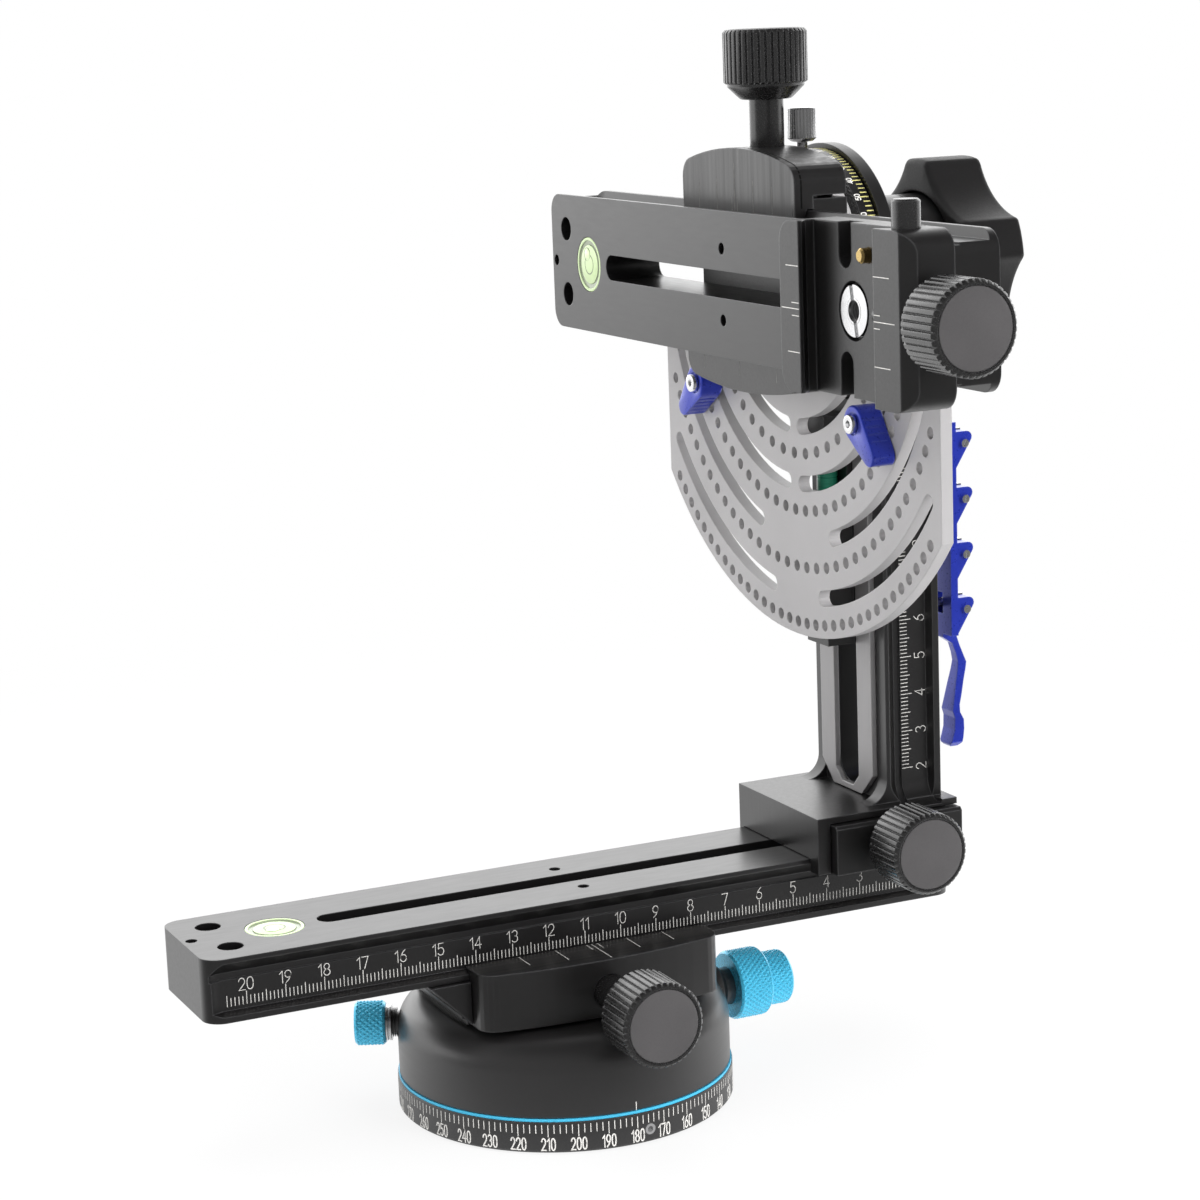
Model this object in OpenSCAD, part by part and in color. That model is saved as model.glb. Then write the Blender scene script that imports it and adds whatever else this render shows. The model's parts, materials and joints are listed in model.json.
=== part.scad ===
// Panoramic tripod head: an indexed turntable carries a sliding lower rail, a slotted column,
// a tilting head with a drilled index plate, and a camera rail with a quick-release clamp.
// The origin is the centre of the base ring's underside. X runs along the lower rail towards
// the column, Y runs away from the clamp knobs, Z is up. The tilt axis is parallel to X.

/* [Turntable] */
// Radius of the degree ring
ring_r = 43.6; // [41:0.1:48]
// Height of the degree ring and of the base plate in it
ring_h = 8.05; // [7:0.05:9]
// Step between the degree ring and the drum
drum_step = 0.5; // [0.1:0.1:1.5]
// Height of the drum's flat top
drum_top = 28.6; // [27.5:0.1:32]
// Radius of the drum's shoulder
drum_shoulder = 8.5; // [3:0.5:10]
// Radius of the post that the drum turns on
post_r = 14; // [12:0.5:16]
// Width of the drum's wall round the toothed index ring
index_wall = 19.6; // [19:0.1:21]
// Number of click stops in one turn
index_stops = 24; // [12:4:36]
// Radius inside the tripod thread
tripod_thread_r = 3.97; // [3:0.01:4.5]
// Length of the tripod thread
tripod_thread_length = 14; // [10:0.5:15]

/* [Pan controls] */
// Height of the index plunger's axis
plunger_z = 20.3; // [19.5:0.1:21]
// Radius of the selector knob
selector_r = 9.25; // [7:0.25:10]
// Length of the selector knob
selector_length = 9.5; // [7:0.5:14]
// Radius of the release knob
release_r = 7.3; // [6:0.1:8]
// Length of the release knob that shows
release_length = 7; // [5:0.5:12]
// Travel of the index plunger
plunger_travel = 2.8; // [2:0.1:3]
// Direction of the pan lock, from the lower rail
lock_angle = 155; // [140:1:215]
// Radius of the pan lock knob
lock_r = 5.8; // [4:0.1:7]
// Length of the pan lock knob
lock_length = 8; // [6:0.5:14]

/* [Rails] */
// Width of both rails over the dovetails
rail_w = 36.9; // [36:0.1:38.5]
// Thickness of both rails
rail_t = 16.05; // [15:0.05:18]
// Length of both rails
rail_length = 207.8; // [190:0.1:240]
// Corner radius of the rails
rail_corner = 5; // [1:0.5:8]
// Width of the slot along the rails
rail_slot_w = 6.8; // [6:0.1:9]
// Distance of the slot from the rail's end
rail_slot_start = 35.1; // [34:0.1:60]
// Distance of the slot from the rail's other end
rail_slot_rest = 38.5; // [34:0.1:60]
// Radius of the camera screw holes
screw_hole_r = 3.25; // [3:0.05:3.5]
// Spacing of the camera screw holes
screw_hole_spacing = 18.06; // [14:0.02:22]
// Distance of the camera screw holes from the rail's end
screw_hole_from_end = 9.57; // [8:0.01:11]
// Radius of the round spirit levels
level_r = 7.5; // [5:0.1:8]
// Distance of the levels from the rail's end
level_from_end = 23.9; // [22:0.1:25.5]
// Place of the lower rail's left end
lower_rail_left = -100.7; // [-110:0.1:-85]
// Height of the lower rail's underside
lower_rail_z = 41.3; // [41:0.1:46]
// Place of the camera rail's far end
camera_rail_far = 92.1; // [75:0.1:110]

/* [Rail clamps] */
// Half length of the lower clamp's jaw
lower_jaw_half = 33; // [31:0.5:38]
// Reach of the lower jaw's front from the rail's middle
lower_jaw_reach = 30.3; // [28:0.1:34]
// Half length of the upper clamp
upper_jaw_half = 30.6; // [30:0.1:35]
// Reach of the upper jaw's top from the tilt axis
upper_jaw_reach = 33; // [31:0.1:34.5]
// Reach of the upper clamp's underside from the tilt axis
upper_foot_reach = 29.2; // [27:0.1:33]
// Thickness of the upper clamp behind the camera rail
upper_clamp_t = 9.6; // [9:0.1:10]
// Opening of the clamps' jaws
jaw_travel = 3; // [2:0.1:3.5]
// Pitch of the clamp screws
screw_pitch = 1.25; // [1:0.05:1.5]

/* [Clamp knobs] */
// Radius of the four clamp knobs
knob_r = 10.75; // [8:0.05:11]
// Length of their fluted barrel
knob_barrel = 13.6; // [10:0.1:18]
// Length of the cone behind the barrel
knob_cone = 4; // [2:0.1:5]
// Number of flutes
knob_flutes = 40; // [24:2:48]
// Length of the lower clamp's shaft
lower_shaft = 13.1; // [13:0.1:20]
// Space between the thumbscrew's head and the upper knob
thumb_clearance = 2.6; // [1:0.1:6]

/* [Column] */
// Place of the column's front face
column_x = 87.5; // [87.5:0.1:92]
// Thickness of the column
column_t = 16.4; // [14:0.1:16.5]
// Height of the tilt axis
tilt_z = 208; // [202:0.5:225]
// Width of the column's slot
column_slot_w = 12.4; // [12.4:0.1:14]
// Height of the foot's top
foot_top = 69; // [68.5:0.1:71]
// Place of the foot's left face
foot_left = 64; // [63:0.1:67]
// Place of the foot's right face
foot_right = 106; // [105.5:0.1:107.5]
// Place of the foot's front
foot_front = 23; // [22:0.1:24]
// Place of the foot's back
foot_back = 21; // [20.5:0.1:26]

/* [Tilt head] */
// Thickness of the tilt hub behind the index plate
hub_t = 6.6; // [6.2:0.1:8]
// Thickness of the index plate
plate_t = 3.2; // [2.5:0.1:3.4]
// Radius of the index plate
plate_r = 94.7; // [94:0.1:98]
// Half width of the plate between its flats
plate_flat = 73.3; // [71:0.1:76]
// Depth of the plate's straight top edge below the tilt axis
plate_top = 12; // [8:0.5:18]
// Radius of the first row of holes
row_r = 46.42; // [46:0.02:46.6]
// Spacing of the rows
row_pitch = 14.97; // [14.5:0.01:15]
// Radius of the index holes
index_hole_r = 1.5; // [1.45:0.01:1.7]
// Width of the arc slots
arc_slot_w = 4.2; // [3.8:0.1:5]
// Radius of the tilt hub's rim
hub_r = 31.7; // [29:0.1:32]
// Radius of the fixed disc behind the hub
stator_r = 33; // [31:0.1:34]
// Radius of the thumbscrew's head
thumb_r = 3.75; // [2.5:0.05:3.9]
// Radius of the lobed knob over its lobes
lobed_r = 27.5; // [25:0.1:27.7]
// Length of the lobed knob
lobed_length = 17; // [13:0.5:20]

/* [Levers] */
// Angle of the left stop lever from straight down
stop_left_angle = 54; // [20:1:70]
// Angle of the right stop lever from straight down
stop_right_angle = 51.8; // [20:0.1:70]
// Length of a stop lever from its screw to its tail
stop_length = 10.6; // [8:0.1:13]
// Swing of the index lever
lever_swing = 5.4; // [4:0.1:5.4]

/* [Camera clamp] */
// Height of the camera clamp
quick_h = 39.8; // [36:0.1:44]
// Distance of the clamp's front from the camera rail
quick_t = 12.8; // [12:0.1:14]
// Width of the clamp's mouth
quick_mouth = 33.9; // [33:0.1:35]
// Place of the clamp's far edge
quick_far = -66.2; // [-68:0.1:-64]
// Radius of the release button
button_r = 3.3; // [2:0.1:3.5]
// Radius of the safety pin
safety_pin_r = 1.75; // [1.2:0.05:2]

/* [Hidden] */
$fn = 64;

// Clearances: a running fit, a flat slide, and free space between bodies
fit = 0.05;
slide_gap = 0.15;
run_gap = 0.3;
// Overrun of every cut
over = 1;
// Chamfer of small edges
small_edge = 0.5;

// Base
drum_r = ring_r - drum_step;
index_r = ring_r - index_wall;
base_wall = 5.6;
base_plate_r = ring_r - base_wall;
bush_flange_r = 9;
bush_flange_t = 2;
bush_r = 7;
bush_relief = 0.4;
bush_relief_depth = 2;
washer_t = 0.7;
washer_z = ring_h + washer_t;
drum_z = washer_z + slide_gap;
web_top = 16.5;
index_z0 = web_top + run_gap;
index_h = 6.7;
index_z1 = index_z0 + index_h;
index_hole_tip_r = 2.3;
index_hole_depth = 4;
chamber_r = index_r + 2 * run_gap + small_edge;
lid_r = chamber_r;
lid_z = index_z1 + run_gap;
lid_rim_t = 0.7;
ring_screw_r = 1.45;
ring_screw_z = 3.3;
ring_screw_length = 6;
ring_screw_angle = -85.3;
hex_r = 0.8;
bezel_over = 0.3;

// Index plunger, along X
pin_r = 2;
pin_tip_r = 1;
pin_tip_length = 2;
barrel_r = 7;
barrel_neck_r = 5;
barrel_inner_x = chamber_r + slide_gap;
selector_x = ring_r + 4.4;
barrel_shoulder_x = ring_r + 1.8;
barrel_round = 1.6;
selector_end = selector_x + selector_length;
selector_recess_r = release_r + run_gap;
selector_recess = plunger_travel + run_gap;
release_x = selector_end + slide_gap;
barrel_end = selector_end - selector_recess - run_gap;
selector_neck_r = 8;
selector_neck_length = 1.6;
edge_cut = 0.8;

// Pan lock, along the lock's own direction
lock_z = 20.4;
shoe_r = 2.5;
shoe_start = index_r + run_gap + fit;
shoe_end = ring_r - 8.6;
lock_screw_r = 3;
lock_screw_start = shoe_end + slide_gap;
lock_washer_start = ring_r + 1;
lock_washer_t = 1.5;
lock_washer_r = 4.5;
lock_knob_start = lock_washer_start + lock_washer_t;
lock_knob_bore = 5;

// Rails, measured in their own frame: z = 0 is the dovetail side and rail_t the face
rail_half = rail_w / 2;
face_edge = 1.2;
face_neck_half = 15.4;
face_neck_end = 5.9;
band_half = 16;
flange_in_z = 2.3;
flange_out_z = 1.5;
groove_end = 5.2;
cutter = band_half + 6;
face_slope = rail_half - face_neck_half;
small_hole_r = 1.5;
end_hole_from_end = 2.5;
stop_hole_from_end = 103.9;
stop_hole_half = 9;
plug_hole_from_end = 183.1;
rail_slot_end = rail_length - rail_slot_rest;
level_depth = 5;
lower_rail_top = lower_rail_z + rail_t;

// Clamp knobs
shaft_r = 4.4;
cone_r = 6.6;
flute_depth = 0.5;
cap_edge = 0.6;
cap_groove_r = 9.1;
cap_groove_w = 0.35;
cap_groove_depth = 0.3;
screw_r = 3;
seat_depth = 1;
screw_length = 30;
flute_shares = [0.05, 0.5, 0.65, 0.9];

// Places along X, from the column's front face towards the camera
liner_t = 1.5;
liner_x = column_x - liner_t;
stator_t = 3.5;
stator_back = liner_x - slide_gap;
stator_x = stator_back - stator_t;
hub_back = stator_x - run_gap;
plate_back = hub_back - hub_t;
plate_x = plate_back - plate_t;
camera_face_x = plate_x - upper_clamp_t - rail_t;

// Rail clamps, measured from the rail's middle and from its dovetail side
lip_half = band_half + run_gap;
wall_half = rail_half + run_gap;
lip_gap = slide_gap + fit;
guide_r = 2;
guide_x = 22;
guide_reach = 7.5;
guide_depth = 14;
lower_lip = 3;
lower_body_t = lower_rail_z - drum_top;
lower_jaw_t = lower_body_t - lid_rim_t - run_gap;
lower_seam = 15.7;
lower_back = 28;
lower_screw_z = 5.3;
horn = 11;
horn_front = 20;
upper_lip = 5.1;
upper_seam = 21.2;
upper_jaw_inner = 22;
upper_screw_z = 4;
upper_front_arc = 110;
upper_foot_arc = 170;
lower_front_arc = 150;
clamp_corner = 5;
lid_screw_x = guide_x + 7.8;
lid_screw_y = 9;
lid_screw_r = 1.6;
lid_screw_head_r = 2.9;
lid_screw_head_t = 3;
lid_screw_length = 12;

// Foot and its jaw
foot_lip_depth = 3.4;
foot_jaw_left = 68;
foot_jaw_reach = 26;
foot_jaw_top = 67;
foot_screw_x = 85.5;
foot_screw_z = 61.5;
foot_seam = 15.9;
foot_shaft = 0.4;
foot_guide_half = 12.5;
foot_guide_z = 63.3;
foot_fillet = 6;

// Column
column_back = column_x + column_t;
column_slot_half = column_slot_w / 2;
column_slot_low = 70.8;
column_band_low = 74;
column_face_in = 2.4;
liner_half = 13.5;
liner_low = foot_top + run_gap;
liner_bevel = 6;

// Tilt head, along X
row_pitches = [7.5, 5, 4, 3];
row_edge = 3.3;
slot_starts = [5.5, 4.3, 16.5, 9.2];
slot_edge = 6;
journal_r = 12;
stud_head_r = 14;
stud_head_t = 1;
stud_head_x = plate_back + slide_gap;
hub_core_r = 28;
rim_t = 2.55;
stud_r = 4;
key_half = 5.6;
key_back = column_back - small_edge;
key_top = tilt_z + key_half;
key_low = 110;
housing_t = 7.85;
housing_front = stator_back - housing_t;
housing_web = 1.2;
housing_top = 171;
washer_x = column_back + run_gap;
washer_back = 113;
lobed_x = 109.5;
lobed_hollow = 4;
lobed_hollow_r = 19.2;
lobed_valley_r = 22;
lobed_cut_r = 26.4;
lobed_count = 5;
lobed_turn = 16;
lobed_boss_r = 9;
stud_end = lobed_x + lobed_length - 2 * edge_cut;
thumb_x = plate_back + rim_t / 2;
thumb_neck = 1.9;
thumb_head_z = tilt_z + hub_r + thumb_neck;
thumb_head_h = 8.7;
upper_shaft = hub_r + thumb_neck + thumb_head_h + thumb_clearance - upper_jaw_reach;
thumb_stud_r = 1.25;
thumb_stud_depth = 26;
plate_screw_r = 1.5;
collar_r = 2.7;
collar_h = 8;
collar_x = stator_back - housing_web - collar_r;

// Index lever and its four pins
ear_x = 106.6;
ear_z = 185;
ear_half = 9;
ear_low = 179.5;
ear_high = 190;
ear_back = 109.2;
lever_pin_r = 1.5;
lever_arm_half = 3;
lever_front = 115.5;
lever_web = 2.2;
lever_half = 6;
lug_gap_half = 2.1;
lug_tip = 122.6;
lug_up = 3.1;
lug_down = 6.6;
lug_round = 1.6;
lug_drop = 1.3;
lever_low = 108.2;
lever_high = 166;
lever_arm_r = 2.4;
lever_arm_drop = 5.1;
lever_root = 1.8;
index_pin_r = 1.3;
eye_front = 118.3;
eye_back = 121.7;
eye_half = 1.7;
cross_x = 120;
cross_r = 0.8;
cross_head_r = 1.1;
engaged_tip = 73.5;
handle_half = 3;
handle_edge = 1.2;
neck_half = 1.2;

// Stop levers
stop_slot_offset = 7.88;
stop_r = row_r + stop_slot_offset;
stop_head_r = 4.6;
stop_tail_r = 2.4;
stop_tail_turn = 7.5;
stop_front = 65.6;
stop_back = plate_x - slide_gap;
stop_screw_r = 1.5;
stop_screw_head_r = 2.4;
stop_screw_head_t = 1.3;
stop_nut_r = 3.2;
stop_nut_t = 1.7;

// Camera clamp
quick_x = camera_face_x - quick_t;
quick_strip = 9.2;
quick_lip = 1;
quick_slope = 2.2;
quick_floor = 5.45;
quick_z0 = tilt_z - quick_h / 2;
quick_corner = 5;
quick_near = quick_far - quick_strip - quick_mouth;
quick_jaw_t = 14.2;
quick_end = quick_near - quick_jaw_t;
quick_screw_y = -91;
quick_head_r = 6;
quick_head_t = 2.4;
quick_ring_r = 6.85;
quick_shank_r = 3.1;
quick_slot_w = 1.4;
quick_slot_turn = 12;
quick_bore_r = 2.5;
quick_bore_depth = 7;
quick_bevel = 3;
pocket_y = -87.5;
pocket_w = 5.9;
pocket_depth = 3.5;
pocket_h = 10.4;
quick_guide_half = 14;
quick_guide_r = 1.5;
quick_guide_x = camera_face_x - 3.4;
quick_knob_x = camera_face_x - 6.4;
quick_screw_r = 2.5;
quick_thread = 22;
quick_guide_depth = 8;
button_x = quick_x + 5.2;
button_y = quick_near - 5.9;
button_h = 6.5;
button_depth = 5;
button_travel = 2.5;
safety_y = -98;
safety_z = tilt_z + 13;
safety_proud = 2.4;
safety_travel = 2;

ROWS = [0 : 3];
function row_radius(k) = row_r + k * row_pitch;
function row_z(k) = tilt_z - row_radius(k);
function slot_radius(k) = stop_r + (k - 1) * row_pitch;
// Height of the cross screw that takes an index pin along, a little below the pin's own axis
function cross_z(k) = row_z(k) - lug_drop;
// Travel of each index pin: its distance below the lever's pin times the swing
function pin_travel(k) = (ear_z - cross_z(k)) * lever_swing * PI / 180;
function arc(c, r, a0, a1, n) = [for (i = [0 : n]) let (a = a0 + (a1 - a0) * i / n) c + r * [cos(a), sin(a)]];

// General shapes

module box(x, y, z) {
    translate([x[0], y[0], z[0]])
        cube([x[1] - x[0], y[1] - y[0], z[1] - z[0]]);
}

module rod(r, z) {
    translate([0, 0, z[0]])
        cylinder(r = r, h = z[1] - z[0]);
}

module tube(outer, inner, z) {
    difference() {
        rod(outer, z);
        rod(inner, [z[0] - over, z[1] + over]);
    }
}

// Turns the Z axis of its children to X, to Y or against Y
module to_x() {
    rotate([0, 90, 0])
        children();
}

module to_y() {
    rotate([-90, 0, 0])
        children();
}

module to_minus_y() {
    rotate([90, 0, 0])
        children();
}

module rod_x(r, x, y, z) {
    translate([0, y, z])
        to_x()
            rod(r, x);
}

module rod_y(r, x, y, z) {
    translate([x, 0, z])
        to_y()
            rod(r, y);
}

// Lays a flat shape drawn in Y and Z on the plane X = x[0] and thickens it to x[1]
module slab_x(x, z0) {
    translate([x[0], 0, z0])
        rotate([90, 0, 90])
            linear_extrude(height = x[1] - x[0])
                children();
}

// Lays a flat shape drawn in X and Z on the plane Y = y[1] and thickens it to y[0]
module slab_y(y) {
    translate([0, y[1], 0])
        rotate([90, 0, 0])
            linear_extrude(height = y[1] - y[0])
                children();
}

// A round bar with a chamfer at both ends
module chamfered_rod(r, z, c) {
    rotate_extrude()
        polygon([[0, z[0]], [r - c, z[0]], [r, z[0] + c], [r, z[1] - c], [r - c, z[1]], [0, z[1]]]);
}

module rounded_plan(x, half, corner) {
    translate([x[0] + corner, half - corner])
        circle(r = corner);
    translate([x[1] - corner, half - corner])
        circle(r = corner);
    translate([x[0] + corner, corner - half])
        circle(r = corner);
    translate([x[1] - corner, corner - half])
        circle(r = corner);
    translate([x[0] + corner, -half])
        square([x[1] - x[0] - 2 * corner, 2 * half]);
    translate([x[0], corner - half])
        square([x[1] - x[0], 2 * half - 2 * corner]);
}

// A slot with round ends
module slot_plan(x, half) {
    translate([x[0] + half, 0])
        circle(r = half);
    translate([x[1] - half, 0])
        circle(r = half);
    translate([x[0] + half, -half])
        square([x[1] - x[0] - 2 * half, 2 * half]);
}

// An outline with a bowed edge on the side of -Y, rounded corners and a straight inner edge
function bowed(half, reach, bow_r, corner, inner) =
    let (c = reach - bow_r)
    let (cx = half - corner)
    let (cy = -c - sqrt(pow(bow_r - corner, 2) - cx * cx))
    let (a = atan2(-c - cy, cx))
    concat([[half, -inner]],
        arc([cx, cy], corner, 0, -a, 5),
        [for (i = [1 : 11]) let (b = 90 - a + (2 * a - 180) * i / 12) [bow_r * sin(b), -c - bow_r * cos(b)]],
        arc([-cx, cy], corner, a - 180, -180, 5),
        [[-half, -inner]]);

// Turntable

module base_plate() {
    color("#202124")
        difference() {
            union() {
                rod(base_plate_r, [0, ring_h]);
                rod(post_r, [0, index_z1]);
            }
            rod(bush_r, [-over, tripod_thread_length]);
            rod(bush_flange_r, [-over, bush_flange_t]);
            rod(tripod_thread_r + bush_relief, [0, tripod_thread_length + bush_relief_depth]);
            ring_screw_place()
                rod(ring_screw_r + fit, [ring_r - ring_screw_length - run_gap, ring_r + over]);
        }
}

module ring_screw_place() {
    rotate([0, 0, ring_screw_angle])
        translate([0, 0, ring_screw_z])
            to_x()
                children();
}

module degree_ring() {
    color("#1c1d20")
        difference() {
            rotate_extrude()
                polygon([[base_plate_r + fit, 0], [ring_r - small_edge, 0], [ring_r, small_edge],
                    [ring_r, ring_h], [base_plate_r + fit, ring_h]]);
            ring_screw_place()
                rod(ring_screw_r + fit, [base_plate_r - over, ring_r + over]);
        }
}

module tripod_bush() {
    color("#b9bcc0")
        difference() {
            union() {
                rod(bush_r - fit, [0, tripod_thread_length]);
                rod(bush_flange_r - fit, [0, bush_flange_t]);
            }
            rod(tripod_thread_r, [-over, tripod_thread_length + over]);
        }
}

module ring_set_screw() {
    color("#c8c8c8")
        ring_screw_place()
            difference() {
                rod(ring_screw_r, [ring_r - ring_screw_length, ring_r - fit]);
                translate([0, 0, ring_r - 2 * hex_r])
                    cylinder(r = hex_r, h = 2 * hex_r + over, $fn = 6);
            }
}

module index_ring() {
    color("#8d9095")
        difference() {
            tube(index_r, post_r + fit, [index_z0, index_z1]);
            for (i = [0 : index_stops - 1])
                rotate([0, 0, i * 360 / index_stops])
                    rod_x(index_hole_tip_r, [index_r - index_hole_depth, index_r + over], 0, plunger_z);
        }
}

module friction_washer() {
    color("#1fa3d8")
        tube(drum_r + bezel_over, post_r + run_gap, [ring_h, washer_z]);
}

module drum_shell() {
    color("#232427")
        difference() {
            rotate_extrude()
                difference() {
                    union() {
                        translate([0, drum_z])
                            square([drum_r, drum_top - drum_shoulder - drum_z]);
                        translate([0, drum_z])
                            square([drum_r - drum_shoulder, drum_top - drum_z]);
                        translate([drum_r - drum_shoulder, drum_top - drum_shoulder])
                            circle(r = drum_shoulder);
                    }
                    translate([-2 * drum_r, 0])
                        square([2 * drum_r, drum_top + over]);
                }
            rod(post_r + fit, [0, drum_top]);
            rod(chamber_r, [web_top, drum_top + over]);
            rod_x(barrel_r + fit, [chamber_r - over, ring_r + over], 0, plunger_z);
            lock_place()
                rod(shoe_r + fit, [index_r, drum_r]);
            lock_place()
                rod(lock_screw_r + fit, [shoe_end - slide_gap, drum_r + over]);
            for (x = [-lid_screw_x, lid_screw_x], y = [-lid_screw_y, lid_screw_y])
                translate([x, y, 0])
                    rod(lid_screw_r + fit, [lid_screw_bottom - run_gap, drum_top + over]);
        }
}

lid_screw_bottom = lower_rail_z - slide_gap - small_edge - lid_screw_head_t - lid_screw_length;

module lock_place() {
    rotate([0, 0, lock_angle])
        translate([0, 0, lock_z])
            to_x()
                children();
}

// Pan controls

module plunger_barrel() {
    color("#17181a")
        difference() {
            union() {
                translate([0, 0, plunger_z])
                    to_x()
                        chamfered_rod(barrel_r, [barrel_inner_x, barrel_shoulder_x], barrel_round);
                rod_x(barrel_neck_r, [barrel_shoulder_x - over, barrel_end], 0, plunger_z);
            }
            rod_x(pin_r + fit, [0, selector_end], 0, plunger_z);
        }
}

module selector_knob() {
    color("#1fa3d8")
        difference() {
            translate([0, 0, plunger_z])
                to_x()
                    chamfered_rod(selector_r, [selector_x, selector_end], edge_cut);
            rod_x(barrel_neck_r + fit, [selector_x - over, selector_end], 0, plunger_z);
            rod_x(selector_recess_r, [selector_end - selector_recess, selector_end + over], 0, plunger_z);
        }
}

module release_knob() {
    color("#1fa3d8")
        difference() {
            translate([0, 0, plunger_z])
                to_x()
                    chamfered_rod(release_r, [release_x, release_x + release_length], edge_cut);
            rod_x(pin_r, [0, release_x + release_length / 2], 0, plunger_z);
        }
}

module index_plunger() {
    color("#b9bcc0")
        translate([0, 0, plunger_z])
            to_x()
                rotate_extrude()
                    polygon([[0, shoe_start], [pin_tip_r, shoe_start], [pin_r, shoe_start + pin_tip_length],
                        [pin_r, release_x + release_length / 2], [0, release_x + release_length / 2]]);
}

module pan_lock_knob() {
    color("#1fa3d8")
        lock_place()
            difference() {
                chamfered_rod(lock_r, [lock_knob_start, lock_knob_start + lock_length], edge_cut);
                rod(lock_screw_r, [0, lock_knob_start + lock_knob_bore]);
            }
}

module pan_lock_screw() {
    color("#c8c8c8")
        lock_place()
            union() {
                rod(lock_screw_r, [lock_screw_start, lock_knob_start + lock_knob_bore]);
                rod(lock_washer_r, [lock_washer_start, lock_knob_start]);
            }
}

module pan_lock_shoe() {
    color("#b08a3c")
        lock_place()
            rod(shoe_r, [shoe_start, shoe_end]);
}

// Rails

// One rail, from its end at x = 0: the dovetail side is z = 0, the marked face is z = rail_t
module rail() {
    difference() {
        linear_extrude(height = rail_t)
            rounded_plan([0, rail_length], rail_half, rail_corner);
        for (side = [-1, 1])
            scale([1, side, 1])
                rail_groove();
        for (y = [-screw_hole_spacing / 2, screw_hole_spacing / 2])
            translate([screw_hole_from_end, y, 0])
                rod(screw_hole_r, [-over, rail_t + over]);
        translate([end_hole_from_end, 0, 0])
            rod(small_hole_r, [rail_t - level_depth, rail_t + over]);
        for (y = [-stop_hole_half, stop_hole_half])
            translate([stop_hole_from_end, y, 0])
                rod(small_hole_r, [-over, rail_t + over]);
        translate([plug_hole_from_end, 0, 0])
            rod(quick_shank_r + fit, [-over, rail_t + over]);
        translate([level_from_end, 0, 0])
            rod(level_r + fit, [rail_t - level_depth, rail_t + over]);
        translate([0, 0, -over])
            linear_extrude(height = rail_t + 2 * over)
                slot_plan([rail_slot_start, rail_slot_end], rail_slot_w / 2);
    }
}

// The undercut, the recessed scale band and the dovetail on one side of a rail, with a cutter's round end
module rail_groove() {
    translate([groove_end, cutter, 0])
        rotate_extrude()
            polygon([[0, flange_out_z], [cutter - rail_half, flange_out_z], [cutter - band_half, flange_in_z],
                [cutter - band_half, rail_t - face_neck_end], [cutter - face_neck_half, rail_t - face_neck_end],
                [cutter - face_neck_half, rail_t - face_edge - face_slope], [cutter - rail_half, rail_t - face_edge],
                [0, rail_t - face_edge]]);
    translate([groove_end, 0, 0])
        rotate([90, 0, 90])
            linear_extrude(height = rail_length - groove_end + over)
                polygon([[rail_half + over, flange_out_z], [rail_half, flange_out_z], [band_half, flange_in_z],
                    [band_half, rail_t - face_neck_end], [face_neck_half, rail_t - face_neck_end],
                    [face_neck_half, rail_t - face_edge - face_slope], [rail_half, rail_t - face_edge],
                    [rail_half + over, rail_t - face_edge]]);
}

module lower_rail_place() {
    translate([lower_rail_left, 0, lower_rail_z])
        children();
}

module camera_rail_place() {
    translate([camera_face_x + rail_t, camera_rail_far, tilt_z])
        rotate([90, 0, -90])
            children();
}

module level() {
    translate([level_from_end, 0, 0])
        rod(level_r, [rail_t - level_depth, rail_t]);
}

module lower_rail() {
    color("#1b1c1f")
        lower_rail_place()
            rail();
}

module lower_level() {
    color("#c9e6a5")
        lower_rail_place()
            level();
}

module camera_rail() {
    color("#1b1c1f")
        camera_rail_place()
            rail();
}

module camera_level() {
    color("#c9e6a5")
        camera_rail_place()
            level();
}

// Clamp knobs

function flutes(r, n) =
    [for (i = [0 : n - 1], j = [0 : 3])
        let (a = (i + flute_shares[j]) * 360 / n)
        (j < 2 ? r : r - flute_depth) * [cos(a), sin(a)]];

// A fluted knob on its screw: z = 0 is the jaw's seat and the cap looks along +Z
module clamp_screw_knob(shaft, thread_r, thread) {
    barrel = shaft + knob_cone;
    top = barrel + knob_barrel;
    difference() {
        union() {
            rod(thread_r, [-thread, shaft]);
            rod(shaft_r, [-seat_depth, shaft + over]);
            translate([0, 0, shaft])
                cylinder(r1 = cone_r, r2 = knob_r - flute_depth, h = knob_cone);
            translate([0, 0, barrel])
                linear_extrude(height = knob_barrel - 2 * cap_edge)
                    polygon(flutes(knob_r, knob_flutes));
            chamfered_rod(knob_r, [top - 2 * cap_edge, top], cap_edge / 2);
        }
        tube(cap_groove_r + cap_groove_w, cap_groove_r, [top - cap_groove_depth, top + over]);
    }
}

// Rail clamps

// Fixed part of a rail clamp in the rail's frame: the fixed jaw is at +Y, the body below z = 0
module clamp_body(half, front, back, t, lip, back_arc) {
    intersection() {
        rotate([90, 0, 90])
            translate([0, 0, -half])
                linear_extrude(height = 2 * half)
                    polygon([[-front, -t], [back, -t], [back, lip], [lip_half, lip],
                        [lip_half, flange_in_z + lip_gap], [wall_half, flange_out_z + lip_gap],
                        [wall_half, -slide_gap], [-front, -slide_gap]]);
        translate([0, 0, -t - over])
            linear_extrude(height = t + lip + 2 * over)
                rotate(180)
                    polygon(bowed(half, back, back_arc, clamp_corner, -front));
    }
}

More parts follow.
